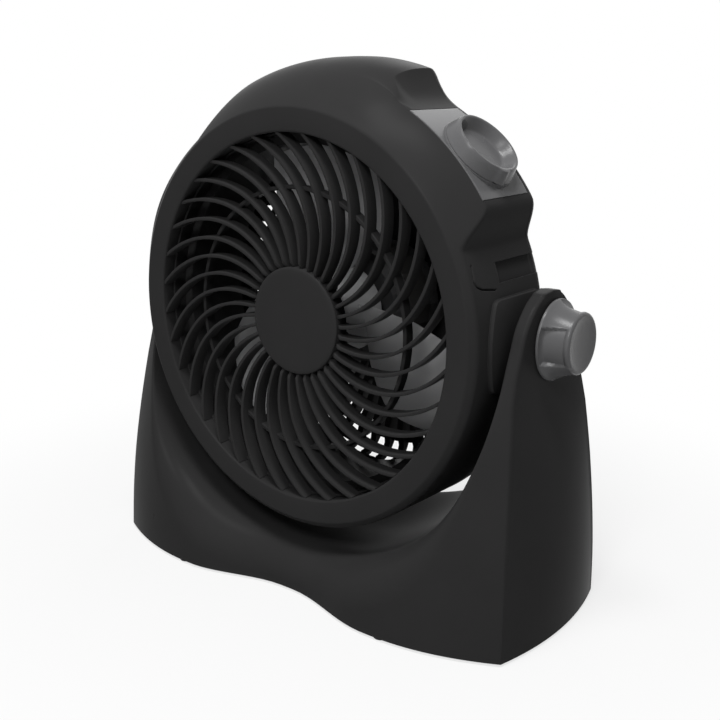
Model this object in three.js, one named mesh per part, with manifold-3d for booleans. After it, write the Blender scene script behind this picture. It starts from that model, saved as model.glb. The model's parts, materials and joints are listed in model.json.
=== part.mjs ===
// Air circulator fan: a drum-shaped head with a raised control hood, held between the
// two arms of a hollow floor stand by a friction knob on each side.
// Millimetres, +Z up, front facing -Y. The origin is on the floor under the middle of
// the stand. Head parts are drawn about the tilt pivot and placed by one group.

import * as THREE from 'three';
import { mergeVertices } from 'three/addons/utils/BufferGeometryUtils.js';
import Module from 'manifold-3d';

const wasm = await Module();
wasm.setup();

// ---------------------------------------------------------------- driving dimensions

const GAP = 0.3;                 // air between any two separate pieces
const WALL = 2.5;                // moulded wall of the head and the stand

// pivot axis, which runs along X
const PIVOT_HEIGHT = 194;
const PIVOT_BEHIND_CENTRE = 8;

// head: places along Y and radii about the fan axis, both from the pivot
const LIP_FRONT_Y = -68.2;
const LIP_EDGE_Y = -64.5;
const SEAM_Y = 7.5;
const OPENING_RADIUS = 125;
const LIP_FLAT_WIDTH = 16;
const LIP_BEVEL = 4;
const DRUM_DRAFT = 2.5;          // the drum widens by this from the lip to the seam
const THROAT_REAR_Y = -50;
const THROAT_WALL = 2.2;

// hood over the drum, angles from +X over the top
const HOOD_RISE = 25;
const HOOD_CORNER_RISE = 2.3;    // the crown's right end stands above its middle
const HOOD_CORNER_DEG = 70.3;
const HOOD_SWELL = 2.8;          // power of the curve from the lip up to the hood
const PANEL_RISE = 13.8;
const PANEL_TOP_DEG = 60;
const PANEL_BOTTOM_DEG = 33.4;
const SCOOP_POWER = 2.3;
const TOE_LOW_DEG = 22.5;
const TOE_HIGH_DEG = 32.5;
const RAMP_DROP = 17;            // flat left end of the hood: how far it cuts into the
const RAMP_DEG = 150.3;          // drum's circle, and the direction it faces

// latch recess in the drum's side
const RECESS_LOW_DEG = 15.3;
const RECESS_HIGH_DEG = 20.4;
const RECESS_FRONT_Y = -35;
const RECESS_DEPTH = 3;

// rear housing and rear guard
const BACK_WALL_Y = 30;
const BACK_TAPER = 14;           // how far the housing draws in towards its back
const GUARD_SEAT_WIDTH = 10;     // guard's flange beyond the duct
const GUARD_RIBS = 30;
const GUARD_RIB_DEG = 3;
const GUARD_CENTRE_RADIUS = 56;
const GUARD_CENTRE_Y = 64;
const GUARD_WALL = 2.2;
const COVER_RADIUS = 50;
const COVER_DEPTH = 12;

// front grille
const VANES = 36;
const VANE_THICKNESS = 2;
const VANE_DEPTH = 13;
const VANE_PHASE_DEG = 94;
const VANE_FRONT_OUTER_Y = -67;
const VANE_FRONT_INNER_Y = -63.4;
const HUB_DISC_RADIUS = 36.8;
const HUB_DISC_Y = -64.1;
const HUB_DISC_DEPTH = 10;
const SUPPORT_RING_RADIUS = 90;
const SUPPORT_RING_WIDTH = 3;
const BAND_WALL = 1.8;

// duct, impeller and motor
const DUCT_INSET = 8;            // the duct is narrower than the front opening
const DUCT_WALL = 2;
const BLADES = 3;
const TIP_CLEARANCE = 5;
const BLADE_ROOT_RADIUS = 29;
const BLADE_SPAN_DEG = 68;
const BLADE_THICKNESS = 2.4;
const IMPELLER_FRONT_Y = -42;
const IMPELLER_DEPTH = 36;
const IMPELLER_HUB_RADIUS = 31;
const SHAFT_RADIUS = 4;
const MOTOR_RADIUS = 42;
const MOTOR_FRONT_Y = 0;
const BELL_DEPTH = 14;
const STATOR_DEPTH = 24;
const ROTOR_RADIUS = 22;
const BEARING_RADIUS = 8;
const BEARING_WIDTH = 7;
const POST_RADIUS = 4.5;
const POST_CIRCLE = 35;

// speed dial and its switch
const DIAL_DEG = 45;
const DIAL_Y = -18;
const DIAL_RADIUS = 26.5;
const DIAL_RIM_RADIUS = 24;
const DIAL_HEIGHT = 10.7;
const DIAL_SHAFT_RADIUS = 3;
const SWITCH_SIDE = 24;
const SWITCH_HEIGHT = 16;

// tilt pivots and knobs
const TRUNNION_RADIUS = 56;
const TRUNNION_HALF_HEIGHT = 30;
const TRUNNION_REAR_Y = 24;
const TRUNNION_RISE = 1.2;
const TRUNNION_FACE_RISE = 2.1;
const TRUNNION_HUB_MARGIN = 4;   // flat face left round the friction washer
const BOSS_RADIUS = 14;
const BOSS_STANDOFF = 4;         // the bosses stop this far outside the front opening
const STUD_RADIUS = 4;
const NUT_RADIUS = 7;
const NUT_THICKNESS = 6;
const WASHER_RADIUS = 16;
const KNOB_FLANGE_RADIUS = 26.2;
const KNOB_GRIP_RADIUS = 19.5;
const KNOB_LENGTH = 19.3;
const KNOB_PANELS = 3;
const KNOB_PANEL_WIDTH = 19.5;
const KNOB_CORE_RADIUS = 21.8;   // floor of the panels beside the flange

// stand, all but the last three measured from the pivot
const ARM_CLEARANCE = 3;
const ARM_THICKNESS = 8.9;
const ARM_RADIUS = 34;
const ARM_CROWN = 0.5;           // bulge of the arm's outer face between its corners
const BASE_SPREAD = 11.1;        // the base's corners stand out beyond the arms
const BASE_HALF_DEPTH = 63.3;
const BASE_BULGE = 8.4;
const LOBE = 22.4;
const LOBE_CENTRE = 6;
const LEAN_POWER = 2.1;
const FLARE_START = 30;          // the arms' faces stay upright this far below the pivot
const CRADLE_POWER = 2.2;
const CRADLE_TOP_Z = -18;
const SWING_CLEARANCE = 4.3;
const FOOT_HEIGHT = 3;
const FOOT_RADIUS = 5;
const BOTTOM_THICKNESS = 2.4;

// fasteners
const SCREW_RADIUS = 1.8;
const SCREW_HEAD_RADIUS = 3;
const SCREW_HEAD_HEIGHT = 1.8;
const SCREW_CLEARANCE = 0.3;
const SCREW_BOSS_RADIUS = 4;
const HOUSING_SCREW_LENGTH = 44;

// ---------------------------------------------------------------- values that follow

const rad = THREE.MathUtils.degToRad;
const smooth = THREE.MathUtils.smoothstep;

const LIP_FLAT_RADIUS = OPENING_RADIUS + LIP_FLAT_WIDTH;
const LIP_RADIUS = LIP_FLAT_RADIUS + LIP_BEVEL;
const DRUM_RADIUS = LIP_RADIUS + DRUM_DRAFT;
const HOOD_RADIUS = DRUM_RADIUS + HOOD_RISE;
const HOOD_CORNER_RADIUS = HOOD_RADIUS + HOOD_CORNER_RISE;
const PANEL_RADIUS = DRUM_RADIUS + PANEL_RISE;
const RAMP_DISTANCE = DRUM_RADIUS - RAMP_DROP;
const DUCT_RADIUS = OPENING_RADIUS - DUCT_INSET;
const GUARD_RADIUS = DUCT_RADIUS + GUARD_SEAT_WIDTH;
const BLADE_RADIUS = DUCT_RADIUS - TIP_CLEARANCE;
const TRUNNION_FACE_X = DRUM_RADIUS + TRUNNION_FACE_RISE;
const BOSS_INNER_X = OPENING_RADIUS + BOSS_STANDOFF;
const ARM_INNER_X = TRUNNION_FACE_X + ARM_CLEARANCE;
const ARM_OUTER_X = ARM_INNER_X + ARM_THICKNESS;
const BASE_CORNER_X = ARM_OUTER_X + BASE_SPREAD;
const swingRadius = Math.hypot(LIP_RADIUS, LIP_EDGE_Y);
const cradleDepth = swingRadius + SWING_CLEARANCE;
const shellFloorZ = FOOT_HEIGHT - PIVOT_HEIGHT;
const ductRadiusOut = DUCT_RADIUS + DUCT_WALL;
const grilleBandRadius = OPENING_RADIUS - GAP;
const grilleFlangeY = THROAT_REAR_Y + GAP;
const grilleFlangeWidth = 2;
const ductFrontY = grilleFlangeY + grilleFlangeWidth + GAP;
const ductFlange = 2;
const ductRearY = BACK_WALL_Y - WALL - GAP;
const guardSeatY = BACK_WALL_Y + GAP;
const coverSeatY = GUARD_CENTRE_Y + GAP;
const statorFrontY = MOTOR_FRONT_Y + BELL_DEPTH + GAP;
const rearBellY = statorFrontY + STATOR_DEPTH + GAP;
const motorRearY = rearBellY + BELL_DEPTH;
const knobSeatX = ARM_OUTER_X + ARM_CROWN + GAP;
const postLength = GUARD_CENTRE_Y - GUARD_WALL - motorRearY - GAP;

// ---------------------------------------------------------------- colours

const finish = (color, roughness, metalness = 0) =>
  new THREE.MeshStandardMaterial({ color, roughness, metalness });
const BLACK = 0x28282a;
const GREY = 0x76767a;
const STEEL = 0x9a9c9e;
const blackPlastic = () => finish(BLACK, 0.5);
const greyPlastic = () => finish(GREY, 0.4);
const steel = () => finish(STEEL, 0.35, 1);
const rubber = () => finish(0x161616, 0.9);

// ---------------------------------------------------------------- closed meshes

// A geometry with shared corners, turned so that its faces point out.
function closed(geometry) {
  geometry.deleteAttribute('normal');
  geometry.deleteAttribute('uv');
  const merged = mergeVertices(geometry, 1e-4);
  const p = merged.getAttribute('position').array;
  const index = merged.getIndex().array;
  const kept = [];
  let volume = 0;
  for (let i = 0; i < index.length; i += 3) {
    const [a, b, c] = [index[i], index[i + 1], index[i + 2]];
    if (a === b || b === c || c === a) continue;
    kept.push(a, b, c);
    const [ax, ay, az] = p.subarray(3 * a, 3 * a + 3);
    const [bx, by, bz] = p.subarray(3 * b, 3 * b + 3);
    const [cx, cy, cz] = p.subarray(3 * c, 3 * c + 3);
    volume += ax * (by * cz - bz * cy) + ay * (bz * cx - bx * cz) + az * (bx * cy - by * cx);
  }
  merged.setIndex(volume > 0 ? kept : kept.reverse());
  return merged;
}

function solid(geometry) {
  const body = closed(geometry);
  return new wasm.Manifold(new wasm.Mesh({
    numProp: 3,
    vertProperties: Float32Array.from(body.getAttribute('position').array),
    triVerts: Uint32Array.from(body.getIndex().array),
  }));
}

function geometryOf(body) {
  const mesh = body.getMesh();
  const geometry = new THREE.BufferGeometry();
  geometry.setAttribute('position', new THREE.BufferAttribute(mesh.vertProperties, 3));
  geometry.setIndex(new THREE.BufferAttribute(mesh.triVerts, 1));
  return geometry;
}

const join = (parts) => parts.reduce((sum, part) => sum.add(part));
const cut = (body, tools) => tools.reduce((rest, tool) => rest.subtract(tool), body);

function piece(name, shape, material) {
  const geometry = shape instanceof wasm.Manifold ? geometryOf(shape) : closed(shape);
  const mesh = new THREE.Mesh(geometry, material);
  mesh.name = name;
  return mesh;
}

// Closed profile of [radius, height] pairs turned about Y.
function turned(profile, segments = 48) {
  const points = profile.map(([r, h]) => new THREE.Vector2(r, h));
  return new THREE.LatheGeometry([...points, points[0].clone()], segments);
}

// Solid of revolution about Y between two radii and two heights.
function ring(inner, outer, low, high, segments = 48) {
  return turned([[inner, low], [outer, low], [outer, high], [inner, high]], segments);
}

// Solid of revolution about Y whose profile starts and ends on the axis.
function turnedOnAxis(profile, segments = 24) {
  return new THREE.LatheGeometry(profile.map(([r, h]) => new THREE.Vector2(r, h)), segments);
}

function rod(radius, low, high, segments = 16) {
  return turnedOnAxis([[0, low], [radius, low], [radius, high], [0, high]], segments);
}

// Y axis of a turned shape laid along +X, or stood up along +Z.
const alongX = (geometry) => geometry.rotateZ(-Math.PI / 2);
const alongZ = (geometry) => geometry.rotateX(Math.PI / 2);

// Skin between rows of closed outlines, with flat ends.
function loft(rows) {
  const count = rows[0].length;
  const position = rows.flat().flatMap((p) => [p.x, p.y, p.z]);
  const index = [];
  for (let i = 0; i + 1 < rows.length; i += 1) {
    for (let j = 0; j < count; j += 1) {
      const [a, b] = [i * count + j, i * count + (j + 1) % count];
      index.push(a, b, b + count, a, b + count, a + count);
    }
  }
  const end = (rows.length - 1) * count;
  const plan = flatView(rows[0]);
  for (const [a, b, c] of THREE.ShapeUtils.triangulateShape(plan, [])) {
    index.push(c, b, a, end + a, end + b, end + c);
  }
  const geometry = new THREE.BufferGeometry();
  geometry.setAttribute('position', new THREE.Float32BufferAttribute(position, 3));
  geometry.setIndex(index);
  return geometry;
}

// An outline seen square on, for filling its ends.
function flatView(outline) {
  const level = outline.every((p) => Math.abs(p.z - outline[0].z) < 1e-6);
  return outline.map((p) => new THREE.Vector2(p.x, level ? p.y : p.z));
}

// Shell round the fan axis on a grid of angles and rows. A row gives the [radius, y] of
// the outer and the inner face at an angle. Cells that isOpen names are left out and
// walled, so that the shell stays one closed body.
function shellGrid(angles, rows, isOpen = () => false) {
  const point = (i, j, side) => {
    const angle = angles[j % angles.length];
    const [r, y] = rows[i](angle)[side];
    return [r * Math.cos(rad(angle)), y, r * Math.sin(rad(angle))];
  };
  const position = [];
  const quad = (a, b, c, d) => position.push(...a, ...b, ...c, ...a, ...c, ...d);
  const lastRow = rows.length - 2;
  const open = (i, j) => i < 0 || i > lastRow || isOpen(i, (j + angles.length) % angles.length);
  for (let i = 0; i <= lastRow; i += 1) {
    for (let j = 0; j < angles.length; j += 1) {
      if (open(i, j)) continue;
      const [oa, ob] = [point(i, j, 0), point(i, j + 1, 0)];
      const [oc, od] = [point(i + 1, j + 1, 0), point(i + 1, j, 0)];
      const [ia, ib] = [point(i, j, 1), point(i, j + 1, 1)];
      const [ic, id] = [point(i + 1, j + 1, 1), point(i + 1, j, 1)];
      quad(oa, ob, oc, od);
      quad(ia, id, ic, ib);
      if (open(i - 1, j)) quad(oa, ia, ib, ob);
      if (open(i + 1, j)) quad(od, oc, ic, id);
      if (open(i, j - 1)) quad(oa, od, id, ia);
      if (open(i, j + 1)) quad(ob, ib, ic, oc);
    }
  }
  const geometry = new THREE.BufferGeometry();
  geometry.setAttribute('position', new THREE.Float32BufferAttribute(position, 3));
  return geometry;
}

function screw(length, segments = 8) {
  return turnedOnAxis([
    [0, 0], [SCREW_HEAD_RADIUS, 0], [SCREW_HEAD_RADIUS, SCREW_HEAD_HEIGHT],
    [SCREW_RADIUS, SCREW_HEAD_HEIGHT], [SCREW_RADIUS, length], [0, length],
  ], segments);
}

// ---------------------------------------------------------------- outline of the head

// Angles from +X over the top, close together where the hood changes.
const steps = (from, to, count) =>
  Array.from({ length: count }, (_, i) => from + (to - from) * i / count);
const EDGE_DEG = 0.2;
const HEAD_ANGLES = [
  ...steps(15, PANEL_BOTTOM_DEG - EDGE_DEG, 7), PANEL_BOTTOM_DEG - EDGE_DEG,
  ...steps(PANEL_BOTTOM_DEG, PANEL_TOP_DEG, 5), PANEL_TOP_DEG,
  ...steps(PANEL_TOP_DEG + EDGE_DEG, HOOD_CORNER_DEG, 4), HOOD_CORNER_DEG,
  ...steps(75, 108, 5), ...steps(108, 123, 4), ...steps(123, 375, 34),
];

const drumRadius = (y) => LIP_RADIUS
  + (DRUM_RADIUS - LIP_RADIUS) * THREE.MathUtils.clamp((y - LIP_EDGE_Y) / (SEAM_Y - LIP_EDGE_Y), 0, 1);

// Convex front of the hood, from the lip's edge up to a crest at the seam.
const hoodFront = (y, crest) => crest
  - (crest - LIP_RADIUS) * Math.max((SEAM_Y - y) / (SEAM_Y - LIP_EDGE_Y), 0) ** HOOD_SWELL;

// Radius of the hood's top surface: toe, panel seat, scoop, crown and left ramp.
function hoodTop(deg, drum) {
  if (deg < PANEL_TOP_DEG) {
    return drum + (PANEL_RADIUS - drum) * smooth(deg, TOE_LOW_DEG, TOE_HIGH_DEG);
  }
  if (deg < HOOD_CORNER_DEG) {
    const rise = (deg - PANEL_TOP_DEG) / (HOOD_CORNER_DEG - PANEL_TOP_DEG);
    return PANEL_RADIUS + (HOOD_CORNER_RADIUS - PANEL_RADIUS) * rise ** SCOOP_POWER;
  }
  if (deg < 90) {
    const rise = (90 - deg) / (90 - HOOD_CORNER_DEG);
    return HOOD_RADIUS + (HOOD_CORNER_RADIUS - HOOD_RADIUS) * rise;
  }
  return deg < RAMP_DEG
    ? Math.min(HOOD_RADIUS, RAMP_DISTANCE / Math.cos(rad(RAMP_DEG - deg))) : drum;
}

function headRadius(deg, y) {
  const angle = (deg + 360) % 360;
  const drum = drumRadius(y);
  const top = hoodTop(angle, drum);
  return Math.max(drum, Math.min(hoodFront(y, Math.max(top, HOOD_RADIUS)), top));
}

const onPanel = (deg) => deg >= PANEL_BOTTOM_DEG && deg <= PANEL_TOP_DEG;

// ---------------------------------------------------------------- head casings

// Front casing: lip, drum wall and hood in one moulding, sunk where the panel lies.
function headShell() {
  const wall = (y) => (deg) => {
    const seat = onPanel(deg) ? PANEL_RADIUS - WALL - GAP : HOOD_CORNER_RADIUS;
    const outer = Math.min(headRadius(deg, y), seat);
    return [[outer, y], [outer - WALL, Math.max(y, LIP_EDGE_Y + WALL)]];
  };
  const rows = [
    () => [[OPENING_RADIUS, THROAT_REAR_Y], [OPENING_RADIUS + THROAT_WALL, THROAT_REAR_Y]],
    () => [[OPENING_RADIUS + 0.5, LIP_FRONT_Y],
      [OPENING_RADIUS + THROAT_WALL, LIP_FRONT_Y + WALL]],
    () => [[LIP_FLAT_RADIUS, LIP_FRONT_Y], [LIP_FLAT_RADIUS - 1, LIP_FRONT_Y + WALL]],
    ...WALL_SHARES.map((share) => wall(LIP_EDGE_Y + (SEAM_Y - LIP_EDGE_Y) * share)),
  ];
  const bosses = HOUSING_SCREW_DEGS.map((deg) => at(deg, SCREW_CIRCLE,
    solid(rod(SCREW_BOSS_RADIUS, BOSS_FRONT_Y, SEAM_Y - GAP, 12))));
  const bores = HOUSING_SCREW_DEGS.map((deg) => at(deg, SCREW_CIRCLE,
    solid(rod(SCREW_RADIUS + SCREW_CLEARANCE, SEAM_Y - 26, SEAM_Y + 1, 10))));
  const webs = HOUSING_SCREW_DEGS.map((deg) => at(deg, SCREW_CIRCLE, web(deg)));
  const neckHole = onDialAxis(solid(rod(NECK_RADIUS + 0.5, PANEL_RADIUS - 8, PANEL_RADIUS)));
  const shell = solid(shellGrid(HEAD_ANGLES, rows));
  return cut(join([shell, ...bosses, ...webs, recessBlock()]), [
    ...bores, neckHole, recessPocket(), ...SIDES.map(bossCutter),
  ]);
}

const WALL_SHARES = [0, 0.104, 0.215, 0.368, 0.618, 1];
const SIDES = [-1, 1];
const HOUSING_SCREW_DEGS = [31, 147, 213, 329];
const SCREW_CIRCLE = GUARD_RADIUS + 3.5;
const BOSS_FRONT_Y = ductFrontY + 4;

// A body moved out to a place on a circle about the fan axis and turned to face it.
function at(deg, radius, body) {
  return body.translate([radius, 0, 0]).rotate([0, -deg, 0]);
}

// Rib that ties a screw boss to the casing's wall.
function web(deg) {
  const low = -30;
  const high = SEAM_Y - 3;
  const depth = headRadius(deg, low) - 1 - SCREW_CIRCLE;
  return solid(new THREE.BoxGeometry(depth, high - low, 2)
    .translate(depth / 2, (high + low) / 2, 0));
}

function recessBox(grow, outer) {
  const middle = (RECESS_LOW_DEG + RECESS_HIGH_DEG) / 2;
  const width = DRUM_RADIUS * rad(RECESS_HIGH_DEG - RECESS_LOW_DEG) + 2 * grow;
  const inner = DRUM_RADIUS - RECESS_DEPTH - grow;
  const front = RECESS_FRONT_Y - grow;
  const box = new THREE.BoxGeometry(outer - inner, SEAM_Y + 2 - 2 * (grow > 0) - front, width)
    .translate((outer + inner) / 2, (SEAM_Y + 2 - 2 * (grow > 0) + front) / 2, 0);
  return solid(box.rotateY(-rad(middle)));
}
const recessBlock = () => recessBox(1.6, DRUM_RADIUS - 2);
const recessPocket = () => recessBox(0, DRUM_RADIUS + 6);

// Room for the trunnion boss where the two casings meet at the pivot.
function bossCutter(side) {
  const hole = rod(BOSS_RADIUS + GAP, BOSS_INNER_X - 4, ARM_INNER_X, 24);
  return solid(alongX(hole).scale(side, 1, 1));
}

// Grey panel let into the hood's right shoulder, with its front edge on the hood's curve
// and a low collar that carries the dial.
function controlPanel() {
  const [low, high] = [PANEL_BOTTOM_DEG + EDGE_DEG, PANEL_TOP_DEG - EDGE_DEG];
  const angles = [...steps(low, high, 12), high];
  const frontY = (r) => SEAM_Y - (SEAM_Y - LIP_EDGE_Y)
    * ((HOOD_RADIUS - r) / (HOOD_RADIUS - LIP_RADIUS)) ** (1 / HOOD_SWELL);
  const inner = PANEL_RADIUS - WALL;
  const rows = [
    () => [[PANEL_RADIUS, frontY(PANEL_RADIUS)], [inner, frontY(inner)]],
    () => [[PANEL_RADIUS, SEAM_Y], [inner, SEAM_Y]],
  ];
  const last = angles.length - 1;
  const plate = solid(shellGrid(angles, rows, (i, j) => j === last));
  const collar = solid(ring(DIAL_RADIUS - 5, DIAL_RADIUS - 1.5, PANEL_RADIUS - WALL + 0.1,
    PANEL_RADIUS + DIAL_LIFT - GAP, 28));
  const bore = solid(rod(DIAL_SHAFT_RADIUS + GAP + 1.4 + GAP, inner - 5, PANEL_RADIUS + 5));
  return cut(join([plate, onDialAxis(collar)]), [onDialAxis(bore)]);
}

// Turned bodies drawn along Y, set on the dial's axis with Y pointing out of the panel.
const onDialAxis = (body) => body.rotate([0, 0, -90]).rotate([0, -DIAL_DEG, 0])
  .translate([0, DIAL_Y, 0]);

// Rear casing: carries the hood's outline back and turns in to the guard's seat.
function rearHousing() {
  const front = SEAM_Y + GAP;
  const edge = (deg) => headRadius(deg, SEAM_Y);
  const seat = ductRadiusOut + 2;
  const rows = [
    (deg) => [[edge(deg), front], [edge(deg) - WALL, front]],
    (deg) => [[edge(deg) - BACK_TAPER / 2, 19.5], [edge(deg) - BACK_TAPER / 2 - WALL - 1, 19]],
    (deg) => [[edge(deg) - BACK_TAPER, BACK_WALL_Y],
      [edge(deg) - BACK_TAPER - 2, BACK_WALL_Y - WALL]],
    () => [[seat, BACK_WALL_Y], [seat, BACK_WALL_Y - WALL]],
  ];
  const sleeves = HOUSING_SCREW_DEGS.map((deg) => at(deg, SCREW_CIRCLE,
    solid(rod(SCREW_BOSS_RADIUS, SEAM_Y + GAP, BACK_WALL_Y - 1, 12))));
  const bores = HOUSING_SCREW_DEGS.map((deg) => at(deg, SCREW_CIRCLE,
    solid(rod(SCREW_RADIUS + SCREW_CLEARANCE, SEAM_Y - 2, BACK_WALL_Y + 2, 10))));
  const inlet = at(CORD_DEG, CORD_CIRCLE, solid(rod(GLAND_RADIUS, 20, BACK_WALL_Y + 5)));
  const shell = solid(shellGrid(HEAD_ANGLES, rows));
  return cut(join([shell, ...sleeves]), [
    ...bores, inlet, ...SIDES.map(bossCutter),
  ]);
}
const CORD_DEG = 100;
const CORD_CIRCLE = HOOD_RADIUS - 30.5;
const GLAND_RADIUS = 5;

// ---------------------------------------------------------------- grilles

// Angle by which a vane trails its tip at a radius, in degrees.
function vaneSweep(r) {
  const s = (OPENING_RADIUS - r) / (OPENING_RADIUS - HUB_DISC_RADIUS);
  return 50.8 * s - 11.3 * s ** 2 - 6.8 * s ** 3;
}

function vane(tipDeg) {
  const outer = grilleBandRadius - BAND_WALL / 2;
  const radii = [HUB_DISC_RADIUS - 1, HUB_DISC_RADIUS + 3, 55, 80, 102, outer];
  const rows = radii.map((r, i) => {
    const angle = rad(tipDeg - vaneSweep(r));
    const half = VANE_THICKNESS / 2 / r / Math.cos(slant(r));
    const front = i === 0 ? HUB_DISC_Y + CAP_THICKNESS + 1 : VANE_FRONT_INNER_Y
      + (VANE_FRONT_OUTER_Y - VANE_FRONT_INNER_Y) * (r - radii[1]) / (outer - radii[1]);
    const corner = (a, y) => new THREE.Vector3(r * Math.cos(a), y, r * Math.sin(a));
    return [corner(angle - half, front), corner(angle + half, front),
      corner(angle + half, front + VANE_DEPTH), corner(angle - half, front + VANE_DEPTH)];
  });
  return solid(strip(rows));
}

// Slope of a vane against the radius, so that it keeps its thickness along its length.
function slant(r) {
  const turn = rad(vaneSweep(r - 1) - vaneSweep(r + 1)) / 2;
  return Math.min(Math.atan(Math.abs(turn) * r), 1.1);
}

// Skin over four-cornered sections, closed by a quad at each end.
function strip(rows) {
  const position = [];
  const quad = (a, b, c, d) => {
    for (const p of [a, b, c, a, c, d]) position.push(p.x, p.y, p.z);
  };
  for (let i = 0; i + 1 < rows.length; i += 1) {
    for (let k = 0; k < 4; k += 1) {
      const next = (k + 1) % 4;
      quad(rows[i][k], rows[i][next], rows[i + 1][next], rows[i + 1][k]);
    }
  }
  const last = rows[rows.length - 1];
  quad(rows[0][3], rows[0][2], rows[0][1], rows[0][0]);
  quad(last[0], last[1], last[2], last[3]);
  const geometry = new THREE.BufferGeometry();
  geometry.setAttribute('position', new THREE.Float32BufferAttribute(position, 3));
  return geometry;
}

function frontGrille() {
  const vanes = steps(VANE_PHASE_DEG, VANE_PHASE_DEG + 360, VANES).map(vane);
  const band = turned([
    [grilleBandRadius - BAND_WALL, VANE_FRONT_OUTER_Y], [grilleBandRadius, VANE_FRONT_OUTER_Y],
    [grilleBandRadius, grilleFlangeY], [OPENING_RADIUS + 6, grilleFlangeY],
    [OPENING_RADIUS + 6, grilleFlangeY + grilleFlangeWidth],
    [grilleBandRadius - BAND_WALL, grilleFlangeY + grilleFlangeWidth],
  ], VANES);
  const support = ring(SUPPORT_RING_RADIUS - SUPPORT_RING_WIDTH / 2,
    SUPPORT_RING_RADIUS + SUPPORT_RING_WIDTH / 2, LIP_EDGE_Y + 3, LIP_EDGE_Y + 11, VANES);
  const seatY = HUB_DISC_Y + CAP_THICKNESS + GAP;
  const hub = turned([
    [CAP_PIN_RADIUS + GAP, seatY], [HUB_DISC_RADIUS, seatY], [HUB_DISC_RADIUS, HUB_DISC_Y + HUB_DISC_DEPTH],
    [HUB_DISC_RADIUS - WALL, HUB_DISC_Y + HUB_DISC_DEPTH],
    [HUB_DISC_RADIUS - WALL, seatY + WALL], [CAP_PIN_RADIUS + GAP, seatY + WALL],
  ], 24);
  return join([solid(band), solid(support), solid(hub), ...vanes]);
}
const CAP_THICKNESS = 2;
const CAP_PIN_RADIUS = 4;

// Bare disc that covers the grille's hub, held by a pin in its middle.
function hubCap() {
  return turnedOnAxis([
    [0, HUB_DISC_Y], [HUB_DISC_RADIUS - 1, HUB_DISC_Y], [HUB_DISC_RADIUS, HUB_DISC_Y + 1],
    [HUB_DISC_RADIUS, HUB_DISC_Y + CAP_THICKNESS], [CAP_PIN_RADIUS, HUB_DISC_Y + CAP_THICKNESS],
    [CAP_PIN_RADIUS, HUB_DISC_Y + 7], [0, HUB_DISC_Y + 7],
  ], 24);
}

// Domed guard behind the fan: two rings of slots between ribs, and a flat centre.
function rearGuard() {
  const pitch = 360 / GUARD_RIBS;
  const angles = steps(0, 360, GUARD_RIBS).flatMap((deg) => [deg, deg + GUARD_RIB_DEG])
    .map((deg) => deg % 360);
  const dome = (share) => [
    GUARD_CENTRE_RADIUS + (GUARD_DOME_RADIUS - GUARD_CENTRE_RADIUS) * Math.cos(share * Math.PI / 2),
    guardSeatY + GUARD_WALL + (GUARD_CENTRE_Y - guardSeatY - GUARD_WALL) * Math.sin(share * Math.PI / 2),
  ];
  const row = (share) => () => {
    const [r, y] = dome(share);
    return [[r, y], [r - GUARD_WALL * (1 - share) - 0.2, y - GUARD_WALL * Math.min(1, 0.3 + share)]];
  };
  const rows = [
    () => [[GUARD_RADIUS, guardSeatY + GUARD_WALL], [GUARD_RADIUS, guardSeatY]],
    () => [[GUARD_DOME_RADIUS, guardSeatY + GUARD_WALL], [GUARD_DOME_RADIUS - GUARD_WALL, guardSeatY]],
    row(0.06), row(0.4), row(0.46), row(0.92),
    () => [[GUARD_CENTRE_RADIUS, GUARD_CENTRE_Y], [GUARD_CENTRE_RADIUS, GUARD_CENTRE_Y - GUARD_WALL]],
    () => [[GUARD_HOLE_RADIUS, GUARD_CENTRE_Y], [GUARD_HOLE_RADIUS, GUARD_CENTRE_Y - GUARD_WALL]],
  ];
  const slotRows = [2, 4];
  const shell = solid(shellGrid(angles, rows, (i, j) => slotRows.includes(i) && j % 2 === 1));
  const posts = MOTOR_SCREW_DEGS.map((deg) => at(deg, POST_CIRCLE,
    solid(rod(POST_RADIUS, motorRearY + GAP, GUARD_CENTRE_Y - 1, 12))));
  const bores = MOTOR_SCREW_DEGS.map((deg) => at(deg, POST_CIRCLE,
    solid(rod(SCREW_RADIUS + SCREW_CLEARANCE, motorRearY - 1, GUARD_CENTRE_Y + 1, 10))));
  return cut(join([shell, ...posts]), bores);
}
const GUARD_RIM_WIDTH = 4;
const GUARD_DOME_RADIUS = GUARD_RADIUS - GUARD_RIM_WIDTH;
const GUARD_HOLE_RADIUS = 20;
const MOTOR_SCREW_DEGS = [45, 135, 225, 315];

// Cap over the motor's tail, clipped onto the guard's centre.
function rearCover() {
  const back = coverSeatY + COVER_DEPTH;
  return turned([
    [COVER_RADIUS, coverSeatY], [COVER_RADIUS, coverSeatY + COVER_DEPTH * 0.5],
    [COVER_RADIUS - 2, back - 2.5], [COVER_RADIUS - 6, back], [COVER_VENT_RADIUS, back],
    [COVER_VENT_RADIUS, back - WALL], [COVER_RADIUS - 7, back - WALL],
    [COVER_RADIUS - WALL, coverSeatY + COVER_DEPTH * 0.4], [COVER_RADIUS - WALL, coverSeatY],
  ], 28);
}
const COVER_VENT_RADIUS = 5;

// ---------------------------------------------------------------- duct, impeller, motor

function ductRing() {
  return turned([
    [DUCT_RADIUS, ductFrontY], [OPENING_RADIUS + 4, ductFrontY],
    [OPENING_RADIUS + 4, ductFrontY + ductFlange], [ductRadiusOut, ductFrontY + ductFlange],
    [ductRadiusOut, ductRearY - ductFlange], [ductRadiusOut + 7, ductRearY - ductFlange],
    [ductRadiusOut + 7, ductRearY], [DUCT_RADIUS, ductRearY],
  ], 40);
}

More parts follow.
